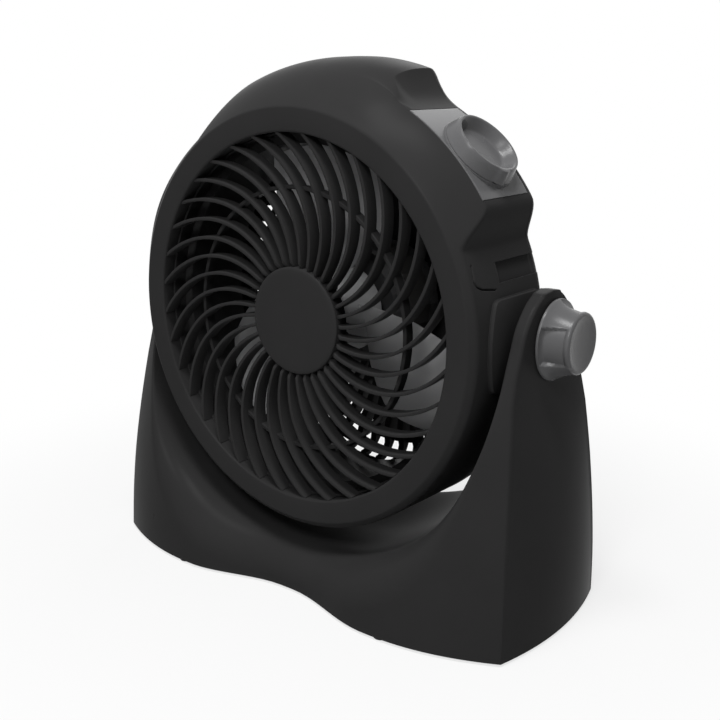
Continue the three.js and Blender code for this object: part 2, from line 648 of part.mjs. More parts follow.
// One broad blade, leading at the front and trailing at the rear.
function blade(leadDeg) {
  const chordSteps = 5;
  const radii = [BLADE_ROOT_RADIUS, 50, 75, 97, BLADE_RADIUS];
  const front = IMPELLER_FRONT_Y + 2;
  const drop = IMPELLER_DEPTH - 6;
  const corner = (r, share, shift) => {
    const sweep = BLADE_SWEEP_DEG * ((r - BLADE_ROOT_RADIUS) / (BLADE_RADIUS - BLADE_ROOT_RADIUS)) ** 2;
    const angle = rad(leadDeg - sweep - share * BLADE_SPAN_DEG);
    const y = front + drop * (1 - (1 - share) ** 1.6) + shift;
    return new THREE.Vector3(r * Math.cos(angle), y, r * Math.sin(angle));
  };
  const rows = Array.from({ length: chordSteps + 1 }, (_, i) => {
    const share = i / chordSteps;
    return [...radii.map((r) => corner(r, share, 0)),
      ...[...radii].reverse().map((r) => corner(r, share, BLADE_THICKNESS))];
  });
  return solid(loftLoose(rows));
}
const BLADE_SWEEP_DEG = 14;

// Loft whose ends are fans of quads between its two long sides.
function loftLoose(rows) {
  const count = rows[0].length;
  const position = [];
  const quad = (a, b, c, d) => {
    for (const p of [a, b, c, a, c, d]) position.push(p.x, p.y, p.z);
  };
  for (let i = 0; i + 1 < rows.length; i += 1) {
    for (let j = 0; j < count; j += 1) {
      const next = (j + 1) % count;
      quad(rows[i][j], rows[i][next], rows[i + 1][next], rows[i + 1][j]);
    }
  }
  const last = rows[rows.length - 1];
  for (let j = 0; j + 1 < count / 2; j += 1) {
    const [k, n] = [count - 1 - j, count - 2 - j];
    quad(rows[0][k], rows[0][n], rows[0][j + 1], rows[0][j]);
    quad(last[j], last[j + 1], last[n], last[k]);
  }
  const geometry = new THREE.BufferGeometry();
  geometry.setAttribute('position', new THREE.Float32BufferAttribute(position, 3));
  return geometry;
}

function impeller() {
  const rear = IMPELLER_FRONT_Y + IMPELLER_DEPTH;
  const bore = SHAFT_RADIUS + GAP;
  const hub = turned([
    [bore, IMPELLER_FRONT_Y], [IMPELLER_HUB_RADIUS - 3, IMPELLER_FRONT_Y],
    [IMPELLER_HUB_RADIUS, IMPELLER_FRONT_Y + 3], [IMPELLER_HUB_RADIUS, rear],
    [IMPELLER_HUB_RADIUS - WALL, rear], [IMPELLER_HUB_RADIUS - WALL, IMPELLER_FRONT_Y + 4],
    [bore + 5, IMPELLER_FRONT_Y + 4], [bore + 5, rear - 6], [bore, rear - 6],
  ], 24);
  return join([solid(hub), ...steps(BLADE_LEAD_DEG, BLADE_LEAD_DEG + 360, BLADES).map(blade)]);
}
const BLADE_LEAD_DEG = 14;

function impellerNut() {
  const front = IMPELLER_FRONT_Y - GAP - 7;
  return turned([
    [SHAFT_RADIUS + GAP, IMPELLER_FRONT_Y - GAP], [13, IMPELLER_FRONT_Y - GAP], [12, front + 3],
    [9, front], [SHAFT_RADIUS + GAP, front],
  ], 18);
}

function motorShaft() {
  return rod(SHAFT_RADIUS, IMPELLER_FRONT_Y - 6, motorRearY + 4, 20);
}

// End bell: a cup with a bearing seat in its middle. It is drawn open towards +Y.
function endBell() {
  const seat = BEARING_RADIUS + GAP;
  return turned([
    [SHAFT_RADIUS + 1, 0], [MOTOR_RADIUS - 4, 0], [MOTOR_RADIUS, 4], [MOTOR_RADIUS, BELL_DEPTH],
    [MOTOR_RADIUS - WALL, BELL_DEPTH], [MOTOR_RADIUS - WALL, 5], [seat + WALL, 2.2],
    [seat + WALL, 2.2 + BEARING_WIDTH], [seat, 2.2 + BEARING_WIDTH], [seat, 1.8],
    [SHAFT_RADIUS + 1, 1.8],
  ], 20);
}

function rearBell() {
  const bores = MOTOR_SCREW_DEGS.map((deg) => at(deg, POST_CIRCLE,
    solid(rod(SCREW_RADIUS + SCREW_CLEARANCE, motorRearY - 6, motorRearY + 1, 10))));
  const cup = solid(endBell().rotateX(Math.PI).translate(0, motorRearY, 0));
  return cut(cup, bores);
}

const bearing = () => ring(SHAFT_RADIUS + GAP, BEARING_RADIUS, 0, BEARING_WIDTH, 14);

function statorCore() {
  return ring(ROTOR_RADIUS + 0.5, MOTOR_RADIUS, 0, STATOR_DEPTH, 20);
}

function windingHead() {
  return turned([[ROTOR_RADIUS + 3, 0], [37, 0], [37, 5], [34, 8], [ROTOR_RADIUS + 5, 8],
    [ROTOR_RADIUS + 3, 6]], 20);
}

function rotorCore() {
  return ring(SHAFT_RADIUS + GAP, ROTOR_RADIUS, statorFrontY + 1, statorFrontY + STATOR_DEPTH - 1, 20);
}

// ---------------------------------------------------------------- dial and its switch

function speedDial() {
  const base = PANEL_RADIUS + DIAL_LIFT;
  const top = base + DIAL_HEIGHT;
  const bore = DIAL_SHAFT_RADIUS + GAP;
  const cup = solid(turned([
    [bore, base - DIAL_NECK], [bore + 1.4, base - DIAL_NECK], [bore + 1.4, base + 0.4],
    [DIAL_RADIUS - 4, base + 0.4], [DIAL_RADIUS - 4, base], [DIAL_RADIUS, base],
    [DIAL_RADIUS - 0.5, base + 3], [DIAL_RIM_RADIUS, top], [DIAL_RIM_RADIUS - 2, top],
    [DIAL_FLOOR_RADIUS, base + DIAL_FLOOR], [bore, base + DIAL_FLOOR],
  ], 28));
  return onDialAxis(cup.add(solid(rod(bore + 1, base + DIAL_FLOOR - 0.9, base + DIAL_FLOOR, 16))));
}
const DIAL_LIFT = 0.6;
const DIAL_FLOOR = 1.8;
const DIAL_NECK = 4;             // the dial's socket reaches down through the panel
const DIAL_FLOOR_RADIUS = 18.5;

function switchShaft() {
  return onDialAxis(solid(rod(DIAL_SHAFT_RADIUS, PANEL_RADIUS - WALL - SWITCH_NECK + 1,
    PANEL_RADIUS + DIAL_LIFT + DIAL_FLOOR - 1.2)));
}
const SWITCH_NECK = 9;
const NECK_RADIUS = 7;

// Rotary switch screwed under the panel by its neck.
function rotarySwitch() {
  const top = PANEL_RADIUS - WALL - 1.6;
  const neckLow = top - SWITCH_NECK;
  const box = solid(new THREE.BoxGeometry(SWITCH_SIDE, SWITCH_HEIGHT, SWITCH_SIDE)
    .translate(0, neckLow - SWITCH_HEIGHT / 2, 0));
  const neck = solid(rod(NECK_RADIUS, neckLow - 1, top, 16));
  const bore = solid(rod(DIAL_SHAFT_RADIUS + GAP, neckLow, top + 1, 16));
  return onDialAxis(box.add(neck).subtract(bore));
}

// Motor capacitor, seated on the rear casing's back wall inside the hood.
function capacitor() {
  const back = BACK_WALL_Y - WALL - GAP;
  return at(CAPACITOR_DEG, CAPACITOR_CIRCLE, solid(new THREE.BoxGeometry(CAPACITOR_DEPTH,
    CAPACITOR_LENGTH, CAPACITOR_WIDTH).translate(0, back - CAPACITOR_LENGTH / 2, 0)));
}
const CAPACITOR_DEPTH = 18;
const CAPACITOR_LENGTH = 36;
const CAPACITOR_WIDTH = 30;
const CAPACITOR_DEG = 88;
const CAPACITOR_CIRCLE = HOOD_RADIUS - 30.5;

function terminalBlock() {
  const back = BACK_WALL_Y - WALL - GAP;
  return at(TERMINAL_DEG, TERMINAL_CIRCLE, solid(new THREE.BoxGeometry(10, 14, 24)
    .translate(0, back - 7, 0)));
}
const TERMINAL_DEG = 110;
const TERMINAL_CIRCLE = HOOD_RADIUS - 38.5;

// Grommet in the back wall, ready for a mains lead.
function cordGland() {
  const back = BACK_WALL_Y + GAP;
  const profile = [[GLAND_BORE, back - WALL - 3], [GLAND_RADIUS - GAP, back - WALL - 3],
    [GLAND_RADIUS - GAP, back], [GLAND_RADIUS + 2, back], [GLAND_RADIUS + 2, back + 2],
    [GLAND_BORE + 1.2, back + 9], [GLAND_BORE, back + 9]];
  return at(CORD_DEG, CORD_CIRCLE, solid(turned(profile, 12)));
}
const GLAND_BORE = 3;

// ---------------------------------------------------------------- tilt pivots

// The drum's side as a solid, grown by a distance.
function drumSide(grow) {
  const [front, back] = [LIP_RADIUS + grow, DRUM_RADIUS + grow];
  return solid(turnedOnAxis([[0, LIP_EDGE_Y - 10], [front, LIP_EDGE_Y - 10], [front, LIP_EDGE_Y],
    [back, SEAM_Y], [back, BACK_WALL_Y + 10], [0, BACK_WALL_Y + 10]], 144));
}

// Trunnion: a thin cheek that fits the drum's side, with a flat hub for the friction
// washer and a boss for the stud's nut.
function trunnion(side) {
  const disc = solid(alongX(rod(TRUNNION_RADIUS, BOSS_INNER_X, TRUNNION_FACE_X, 60)));
  const frame = solid(new THREE.BoxGeometry(60, TRUNNION_RADIUS + TRUNNION_REAR_Y,
    2 * TRUNNION_HALF_HEIGHT).translate(TRUNNION_FACE_X - 20, (TRUNNION_REAR_Y - TRUNNION_RADIUS) / 2, 0));
  const cheek = disc.intersect(frame).intersect(drumSide(GAP + TRUNNION_RISE));
  const hub = solid(alongX(rod(WASHER_RADIUS + TRUNNION_HUB_MARGIN, DRUM_RADIUS - 6,
    TRUNNION_FACE_X, 32)));
  const boss = solid(alongX(rod(BOSS_RADIUS, BOSS_INNER_X, TRUNNION_FACE_X - 1, 24)));
  const bore = solid(alongX(rod(STUD_RADIUS + GAP, BOSS_INNER_X - 1, TRUNNION_FACE_X + 1, 16)));
  const pocket = solid(alongX(rod(NUT_RADIUS + GAP, BOSS_INNER_X - 1,
    BOSS_INNER_X + NUT_THICKNESS + GAP, 6)));
  return mirrored(cut(cheek.add(hub).subtract(drumSide(GAP)).add(boss), [bore, pocket]), side);
}

function pivotNut(side) {
  const end = BOSS_INNER_X + NUT_THICKNESS;
  const hexagon = solid(alongX(rod(NUT_RADIUS, BOSS_INNER_X, end, 6)));
  const bore = solid(alongX(rod(STUD_RADIUS + GAP, BOSS_INNER_X - 1, end + 1)));
  return mirrored(hexagon.subtract(bore), side);
}

// A right-hand body as it is, or turned into its left-hand twin.
const mirrored = (body, side) => (side < 0 ? body.mirror([1, 0, 0]) : body);

function frictionWasher(side) {
  return alongX(ring(STUD_RADIUS + GAP, WASHER_RADIUS, TRUNNION_FACE_X + GAP,
    ARM_INNER_X - GAP, 20)).scale(side, 1, 1);
}

function pivotStud(side) {
  return alongX(rod(STUD_RADIUS, BOSS_INNER_X + 1, knobSeatX + 11, 20)).scale(side, 1, 1);
}

// Knob: a flange that flares in to a grip, with finger panels sunk into the flare.
function tiltKnob(side) {
  const end = knobSeatX + KNOB_LENGTH;
  const bore = STUD_RADIUS + GAP;
  const flare = [
    [KNOB_FLANGE_RADIUS - 1.2, knobSeatX + 3.6], [KNOB_FLANGE_RADIUS - 2.5, knobSeatX + 6],
    [KNOB_FLANGE_RADIUS - 3.9, knobSeatX + 9.2], [KNOB_GRIP_RADIUS + 0.8, knobSeatX + 14.4],
  ];
  const body = solid(alongX(turned([
    [bore, knobSeatX], [KNOB_FLANGE_RADIUS, knobSeatX], [KNOB_FLANGE_RADIUS, knobSeatX + 1.8],
    ...flare, [KNOB_GRIP_RADIUS, end - 2.5], [KNOB_GRIP_RADIUS - 2.2, end],
    [KNOB_DISH_RADIUS, end - 0.8], [1, end - 1.3], [1, knobSeatX + 12], [bore, knobSeatX + 12],
  ], 28)));
  const [low, high, out] = [knobSeatX + 2.6, knobSeatX + 14.4, KNOB_FLANGE_RADIUS + 4];
  const outside = solid(alongX(turned([
    [KNOB_CORE_RADIUS, low], [KNOB_GRIP_RADIUS - 0.1, high], [out, high], [out, low],
  ], 28)));
  const plug = solid(alongX(rod(2, knobSeatX + 12, end - 1.3, 12)));
  return mirrored(cut(body.add(plug), steps(180, 540, KNOB_PANELS).map((deg) => outside
    .intersect(panelSlot(deg)))), side);
}
const KNOB_DISH_RADIUS = 13;

// Block that spans one of the knob's panels, pointing out from the axis at an angle.
function panelSlot(deg) {
  return solid(new THREE.BoxGeometry(KNOB_LENGTH, 40, KNOB_PANEL_WIDTH)
    .translate(knobSeatX + KNOB_LENGTH / 2, 20, 0).rotateX(rad(deg)));
}

// ---------------------------------------------------------------- stand

// Share of the way from the pivot's level to the floor, and the lean that follows it.
const fall = (z) => THREE.MathUtils.clamp(-z / PIVOT_HEIGHT, 0, 1);
const lean = (z) => 1 - (1 - fall(z)) ** LEAN_POWER;
const flare = (z) => 1 - (1 - THREE.MathUtils.clamp(
  (-z - FLARE_START) / (PIVOT_HEIGHT - FLARE_START), 0, 1)) ** 2;

// How far the front and back faces stand out between the corners, u from 0 to 1.
function lobe(u) {
  if (u > 0.5) return LOBE * (1 - (2 * u - 1) ** 2);
  return LOBE_CENTRE + (LOBE - LOBE_CENTRE) * smooth(u, 0.03, 0.47);
}

// Plan outline of the stand at a height from the pivot, drawn in by an inset.
function standOutline(z, inset) {
  const round = z > 0 ? Math.sqrt(Math.max(1 - (z / ARM_RADIUS) ** 2, 0)) : 1;
  const middle = -PIVOT_BEHIND_CENTRE * lean(z);
  const half = (ARM_RADIUS + (BASE_HALF_DEPTH - ARM_RADIUS) * lean(z)) * round - inset;
  const corner = ARM_OUTER_X + (BASE_CORNER_X - ARM_OUTER_X) * flare(z) - inset;
  const bulge = ARM_CROWN + BASE_BULGE * flare(z);
  const edge = steps(-1, 1, 14).concat(1).map((u) => [u * corner, half + lobe(Math.abs(u)) * round]);
  const side = steps(-1, 1, 4).slice(1).map((v) => [corner + bulge * (1 - v * v), v * half]);
  const right = [...edge.map(([x, y]) => [x, -y]), ...side];
  return [...right, ...right.map(([x, y]) => [-x, -y])]
    .map(([x, y]) => new THREE.Vector3(x, middle + y, z));
}

// Solid stand between two heights.
function standBlock(low, high, inset) {
  const levels = [-140, -95, -60, -30, 0].filter((z) => z > low + 1 && z < high - 1);
  const rounds = [28, 52, 70, 84].map((deg) => ARM_RADIUS * Math.sin(rad(deg)));
  const all = [low, low + 12, ...levels, ...rounds.filter((z) => z < high - 1), high]
    .filter((z) => z <= high);
  return solid(loft([...new Set(all)].map((z) => standOutline(z, inset))));
}

// Space between the arms: upright sides that sweep round to a saddle, flaring where the
// saddle runs out through the front and the back.
function cradle(grow) {
  const sections = [-110, -92, -78, -62, 48, 64, 78, 100];
  const outline = (y) => {
    const drop = SADDLE_FLARE * smooth(Math.abs(y + PIVOT_BEHIND_CENTRE), 56, 90);
    const [a, b] = [ARM_INNER_X + grow, cradleDepth + CRADLE_TOP_Z + grow + drop];
    const bowl = steps(180, 0, 24).concat(0).map((deg) => {
      const [c, s] = [Math.cos(rad(deg)), Math.sin(rad(deg))];
      return [a * Math.sign(c) * Math.abs(c) ** (2 / CRADLE_POWER),
        CRADLE_TOP_Z - b * Math.abs(s) ** (2 / CRADLE_POWER)];
    });
    return [...bowl, [a, 80], [-a, 80]].map(([x, z]) => new THREE.Vector3(x, y, z));
  };
  return solid(loft(sections.map(outline)));
}
const SADDLE_FLARE = 9;

// Hollow stand: arms and saddle in one skin, open underneath, with screw columns inside.
function standShell() {
  const outside = standBlock(shellFloorZ, ARM_RADIUS * Math.sin(rad(84)), 0);
  const hollow = standBlock(shellFloorZ - 1, -44, WALL).subtract(cradle(WALL));
  const columns = BASE_SCREWS.map(([x, y]) => solid(alongZ(rod(SCREW_BOSS_RADIUS + 1,
    plateTopZ + GAP, -60, 14))).translate([x, y, 0]));
  const bores = BASE_SCREWS.map(([x, y]) => solid(alongZ(rod(SCREW_RADIUS + SCREW_CLEARANCE,
    shellFloorZ, plateTopZ + 18, 10))).translate([x, y, 0]));
  const studHole = solid(alongX(rod(STUD_RADIUS + 1, -ARM_OUTER_X - 9, ARM_OUTER_X + 9, 20)));
  const room = cut(hollow, columns);
  return cut(outside.subtract(cradle(0)), [room, ...bores, studHole]);
}
const plateTopZ = shellFloorZ + BOTTOM_THICKNESS;
const BASE_SCREWS = [[-118, -38], [118, -38], [-118, 22], [118, 22]];

// Flat plate that closes the stand, drawn in to lie inside its skirt.
function standBottom() {
  const inset = WALL + 0.5;
  const outline = standOutline(shellFloorZ, inset);
  const rows = [shellFloorZ, plateTopZ].map((z) => outline.map((p) => new THREE.Vector3(p.x, p.y, z)));
  const bores = BASE_SCREWS.map(([x, y]) => solid(alongZ(rod(SCREW_RADIUS + SCREW_CLEARANCE,
    shellFloorZ - 1, plateTopZ + 1, 10))).translate([x, y, 0]));
  return cut(solid(loft(rows)), bores);
}

const foot = () => alongZ(rod(FOOT_RADIUS, 0, FOOT_HEIGHT - GAP, 12));

// ---------------------------------------------------------------- assembly

const circulator = new THREE.Group();
const head = new THREE.Group();
const stand = new THREE.Group();
head.position.set(0, PIVOT_BEHIND_CENTRE, PIVOT_HEIGHT);
stand.position.copy(head.position);
circulator.add(head, stand);

head.add(
  piece('head_shell', headShell(), blackPlastic()),
  piece('control_panel', controlPanel(), greyPlastic()),
  piece('rear_housing', rearHousing(), blackPlastic()),
  piece('front_grille', frontGrille(), blackPlastic()),
  piece('hub_cap', hubCap(), blackPlastic()),
  piece('rear_guard', rearGuard(), blackPlastic()),
  piece('rear_cover', rearCover(), blackPlastic()),
  piece('duct_ring', ductRing(), blackPlastic()),
  piece('impeller', impeller(), finish(0x8c8c90, 0.35)),
  piece('impeller_nut', impellerNut(), blackPlastic()),
  piece('motor_shaft', motorShaft(), steel()),
  piece('rotor_core', rotorCore(), steel()),
  piece('speed_dial', speedDial(), greyPlastic()),
  piece('switch_shaft', switchShaft(), blackPlastic()),
  piece('rotary_switch', rotarySwitch(), finish(0x303034, 0.6)),
  piece('capacitor', capacitor(), finish(0x2a2a30, 0.5)),
  piece('terminal_block', terminalBlock(), finish(0xd8d8d0, 0.5)),
  piece('cord_gland', cordGland(), rubber()),
);

const motor = new THREE.Group();
head.add(motor);
const statorMesh = piece('stator_core', statorCore(), steel());
statorMesh.position.y = statorFrontY;
const frontWinding = piece('winding_front', windingHead().rotateX(Math.PI), finish(0xa8652e, 0.4, 1));
frontWinding.position.y = statorFrontY - GAP;
const rearWinding = piece('winding_rear', windingHead(), finish(0xa8652e, 0.4, 1));
rearWinding.position.y = rearBellY;
const frontBell = piece('motor_front_bell', endBell(), finish(0x8f9194, 0.4, 1));
frontBell.position.y = MOTOR_FRONT_Y;
const frontBearing = piece('bearing_front', bearing(), steel());
frontBearing.position.y = MOTOR_FRONT_Y + 2.1;
const rearBearing = piece('bearing_rear', bearing(), steel());
rearBearing.position.y = motorRearY - 2.1 - BEARING_WIDTH;
motor.add(statorMesh, frontWinding, rearWinding, frontBell, frontBearing, rearBearing,
  piece('motor_rear_bell', rearBell(), finish(0x8f9194, 0.4, 1)));

const SIDE_NAMES = { '-1': 'left', 1: 'right' };
for (const side of SIDES) {
  const name = SIDE_NAMES[side];
  head.add(
    piece(`trunnion_${name}`, trunnion(side), blackPlastic()),
    piece(`pivot_nut_${name}`, pivotNut(side), steel()),
    piece(`friction_washer_${name}`, frictionWasher(side), rubber()),
    piece(`pivot_stud_${name}`, pivotStud(side), steel()),
    piece(`tilt_knob_${name}`, tiltKnob(side), greyPlastic()),
  );
}

// Screws along Y, driven from the rear: place on a circle, seat and length.
function rearScrew(name, deg, circle, seatY, length) {
  const body = solid(screw(length).rotateX(Math.PI).translate(0, seatY + SCREW_HEAD_HEIGHT + GAP, 0));
  return piece(name, at(deg, circle, body), steel());
}
HOUSING_SCREW_DEGS.forEach((deg, i) => head.add(
  rearScrew(`housing_screw_${i + 1}`, deg, SCREW_CIRCLE, BACK_WALL_Y, HOUSING_SCREW_LENGTH)));
MOTOR_SCREW_DEGS.forEach((deg, i) => head.add(
  rearScrew(`motor_screw_${i + 1}`, deg, POST_CIRCLE, GUARD_CENTRE_Y, postLength + 8)));

stand.add(
  piece('stand_shell', standShell(), blackPlastic()),
  piece('stand_bottom', standBottom(), blackPlastic()),
);
BASE_SCREWS.forEach(([x, y], i) => {
  const mesh = piece(`base_screw_${i + 1}`, alongZ(screw(16)), steel());
  mesh.position.set(x, y, shellFloorZ - SCREW_HEAD_HEIGHT - GAP);
  stand.add(mesh);
});

const footPlaces = [[92, LOBE - FOOT_RADIUS - 2], [BASE_CORNER_X - FOOT_RADIUS, -FOOT_RADIUS - 4]];
for (const [x, out] of footPlaces) {
  for (const sideX of SIDES) {
    for (const sideY of SIDES) {
      const where = x > 100 ? 'corner' : 'edge';
      const end = sideY < 0 ? 'front' : 'rear';
      const mesh = piece(`foot_${end}_${where}_${SIDE_NAMES[sideX]}`, foot(), rubber());
      mesh.position.set(sideX * x, -PIVOT_BEHIND_CENTRE + sideY * (BASE_HALF_DEPTH + out), -PIVOT_HEIGHT);
      stand.add(mesh);
    }
  }
}

export default circulator;
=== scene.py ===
import json
import math

import bmesh
import bpy
import numpy as np
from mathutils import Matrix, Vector


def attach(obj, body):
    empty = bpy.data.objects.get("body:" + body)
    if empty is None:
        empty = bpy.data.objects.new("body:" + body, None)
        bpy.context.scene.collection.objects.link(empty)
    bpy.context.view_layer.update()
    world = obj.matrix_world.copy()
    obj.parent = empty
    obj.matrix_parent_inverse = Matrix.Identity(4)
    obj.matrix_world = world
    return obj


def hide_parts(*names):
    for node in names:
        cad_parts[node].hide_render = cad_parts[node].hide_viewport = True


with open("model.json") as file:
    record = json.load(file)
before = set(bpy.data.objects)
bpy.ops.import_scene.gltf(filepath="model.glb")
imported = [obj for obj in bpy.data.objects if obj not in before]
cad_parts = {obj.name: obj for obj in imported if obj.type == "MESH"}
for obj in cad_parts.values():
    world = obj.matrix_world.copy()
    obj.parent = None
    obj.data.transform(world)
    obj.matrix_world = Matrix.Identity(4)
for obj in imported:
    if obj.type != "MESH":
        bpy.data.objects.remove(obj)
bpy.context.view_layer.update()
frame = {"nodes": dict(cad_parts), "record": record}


# ------------------------------------------------------------------ camera, floor, lights
# A camera at a low three-quarter view, and a white sweep with a soft shadow. A panel light
# overhead and one from the front right do most of the lighting, with a weak one behind.

CAMERA_AT = Vector((0.4524, -0.5625, 0.3530))
CAMERA_TO = Vector((0.0070, 0.0080, 0.1544))
LENS, SENSOR = 51.6, 36
LIGHTS_TO = Vector((0, 0, 0.18))
SKY_LIGHT = 0.15                   # the world's strength as a lamp, while it is seen as white
FLOOR_HALF = 6
PAPER_GREY = 0.66
WHITE_NEAR = 0.72                  # share of plain white seen in the floor beside the fan
WHITE_FROM, WHITE_TO = 0.15, 0.50  # distances over which that share rises to all of it

camera = bpy.data.objects.new("camera", bpy.data.cameras.new("camera"))
camera.data.lens = LENS
camera.data.sensor_width = SENSOR
camera.location = CAMERA_AT
camera.rotation_mode = "QUATERNION"
camera.rotation_quaternion = (CAMERA_TO - CAMERA_AT).to_track_quat("-Z", "Y")
bpy.context.scene.collection.objects.link(camera)
bpy.context.scene.camera = camera
bpy.context.scene.view_settings.view_transform = "Standard"


def panel_light(name, at, width, height, watts):
    """A flat soft light that looks at the middle of the fan."""
    light = bpy.data.lights.new(name, "AREA")
    light.shape = "RECTANGLE"
    light.size = width
    light.size_y = height
    light.energy = watts
    lamp = bpy.data.objects.new(name, light)
    lamp.location = at
    lamp.rotation_mode = "QUATERNION"
    lamp.rotation_quaternion = (LIGHTS_TO - lamp.location).to_track_quat("-Z", "Y")
    bpy.context.scene.collection.objects.link(lamp)


panel_light("light_over", (0.12, -0.32, 1.35), 0.5, 0.3, 15)
panel_light("light_key", (0.42, -1.12, 1.2), 0.4, 0.4, 13)
panel_light("light_rear", (-0.4, 1.3, 1.1), 0.8, 0.8, 2)


def either(tree, first, second):
    """Output that is 1 for a ray when one of two flags is."""
    node = tree.nodes.new("ShaderNodeMath")
    node.operation = "MAXIMUM"
    tree.links.new(first, node.inputs[0])
    tree.links.new(second, node.inputs[1])
    return node.outputs[0]


def mixed(tree, share, first, second, target):
    """Links a target to the mix of two shaders, by the share of the second."""
    mix = tree.nodes.new("ShaderNodeMixShader")
    tree.links.new(share, mix.inputs[0])
    tree.links.new(first, mix.inputs[1])
    tree.links.new(second, mix.inputs[2])
    tree.links.new(mix.outputs[0], target)


world = bpy.data.worlds.new("sweep")
bpy.context.scene.world = world
world.use_nodes = True
sky = world.node_tree
sky.nodes.clear()
lit_sky = sky.nodes.new("ShaderNodeBackground")
lit_sky.inputs["Color"].default_value = (1, 1, 1, 1)
lit_sky.inputs["Strength"].default_value = SKY_LIGHT
seen_sky = sky.nodes.new("ShaderNodeBackground")
seen_sky.inputs["Color"].default_value = (1, 1, 1, 1)
sky_ray = sky.nodes.new("ShaderNodeLightPath").outputs
sky_seen = either(sky, sky_ray["Is Camera Ray"], sky_ray["Is Transmission Ray"])
sky_seen = either(sky, sky_seen, sky_ray["Is Glossy Ray"])
sky_out = sky.nodes.new("ShaderNodeOutputWorld")
mixed(sky, sky_seen, lit_sky.outputs[0], seen_sky.outputs[0], sky_out.inputs["Surface"])

floor_mesh = bpy.data.meshes.new("floor")
floor_corners = [(FLOOR_HALF * x, FLOOR_HALF * y, 0) for x, y in ((-1, -1), (1, -1), (1, 1), (-1, 1))]
floor_mesh.from_pydata(floor_corners, [], [(0, 1, 2, 3)])
floor = bpy.data.objects.new("floor", floor_mesh)
bpy.context.scene.collection.objects.link(floor)

paper = bpy.data.materials.new("white_paper")
paper.use_nodes = True
floor_mesh.materials.append(paper)
tree = paper.node_tree
paper_shader = tree.nodes["Principled BSDF"]
paper_shader.inputs["Base Color"].default_value = (PAPER_GREY, PAPER_GREY, PAPER_GREY, 1)
paper_shader.inputs["Roughness"].default_value = 0.9
glow = tree.nodes.new("ShaderNodeEmission")
glow.inputs["Strength"].default_value = 1.0
floor_place = tree.nodes.new("ShaderNodeTexCoord")
away = tree.nodes.new("ShaderNodeVectorMath")
away.operation = "LENGTH"
tree.links.new(floor_place.outputs["Object"], away.inputs[0])
white = tree.nodes.new("ShaderNodeMapRange")
white.interpolation_type = "SMOOTHSTEP"
white.inputs["From Min"].default_value = WHITE_FROM
white.inputs["From Max"].default_value = WHITE_TO
white.inputs["To Min"].default_value = WHITE_NEAR
tree.links.new(away.outputs["Value"], white.inputs["Value"])
floor_ray = tree.nodes.new("ShaderNodeLightPath").outputs
white_share = tree.nodes.new("ShaderNodeMath")
white_share.operation = "MULTIPLY_ADD"
tree.links.new(white.outputs[0], white_share.inputs[0])
tree.links.new(floor_ray["Is Camera Ray"], white_share.inputs[1])
mirrored = either(tree, floor_ray["Is Glossy Ray"], floor_ray["Is Transmission Ray"])
tree.links.new(mirrored, white_share.inputs[2])
mixed(tree, white_share.outputs[0], paper_shader.outputs[0], glow.outputs[0],
      tree.nodes["Material Output"].inputs["Surface"])


# ------------------------------------------------------------------ front casing
# Black moulded shell: a flat lip round the opening, a slightly tapered drum, and a hood
# that swells over the top for the controls. It is drawn about the tilt pivot in
# millimetres, as a loop of points carried round the fan's axis.

PIVOT = np.array([0, 0.008, 0.194])
LIP_R, DRUM_R, CREST_R, PANEL_R = 145, 147, 172.5, 161.3
OPENING_R = 125
LIP_Y, LIP_FRONT_Y, SEAM_Y = -64.5, -68.2, 7.5
THROAT_Y = -50
LIP_ROUND = 1.5
LIP_PROFILE = [(133, 0), (140, 0), (140.6, 0.05), (141.3, 0.38), (142.1, 1.05), (143.6, 2.45)]
TOE_DEG = (23.8, 32.6)               # rise from the drum's side to the panel
PANEL_FOOT_DEG, PANEL_TOP_DEG = 33.4, 60
PANEL_FRONT_Y = -45.5
PANEL_SEAT = 3
CREST_DEG = (60, 68)                 # where the front's top line eases up to the crown
CORNER_DEG, CORNER_R = 70.3, 174.8
RAMP_DEG, RAMP_R = 150.3, 131.3      # foot of the left ramp and its distance from the axis
BULGE, BULGE_DEG, BULGE_WIDE = 1.8, 153, 14
SWELL_POWER, SCOOP_POWER = 2.8, 2.3
RECESS_DEG, RECESS_DEEP = (15.3, 20.4), 3
TAB_SLIT = [(20.9, -59), (17.1, -60.4), (15.8, -58.4), (14.9, -53.4), (14, -39.4)]
SLIT_DEEP, SLIT_HALF = 1.6, 0.55
DIP, DIP_LENGTH = 1.5, 7             # hollow in the skin behind the panel's front edge
STEP_DEG = 0.02                      # half the width of a step between two grid lines
INSIDE = 3.1                         # from the outer skin to the inner one
SHARP_DEG = 35                       # edges that turn by more stay crisp


def to_row(x, y, z):
    """Points given about the pivot in millimetres, as metres in the row's frame."""
    x, y, z = np.broadcast_arrays(x, y, z)
    return np.stack([x, y, z], -1) * 0.001 + PIVOT


def surface(name, points, wrap_rows=True):
    """Mesh over a grid of points: every cell is one quad, the last column joins the first,
    and where rows wrap, so does the last row."""
    rows, columns = points.shape[:2]
    index = np.arange(rows * columns).reshape(rows, columns)
    if wrap_rows:
        index = np.vstack([index, index[:1]])
    index = np.hstack([index, index[:, :1]])
    return shape(name, points.reshape(-1, 3), cells(index))


def cells(index):
    """Quads between neighbouring rows and columns of a grid of point numbers."""
    quads = np.stack([index[:-1, :-1], index[1:, :-1], index[1:, 1:], index[:-1, 1:]], -1)
    return quads.reshape(-1, 4)


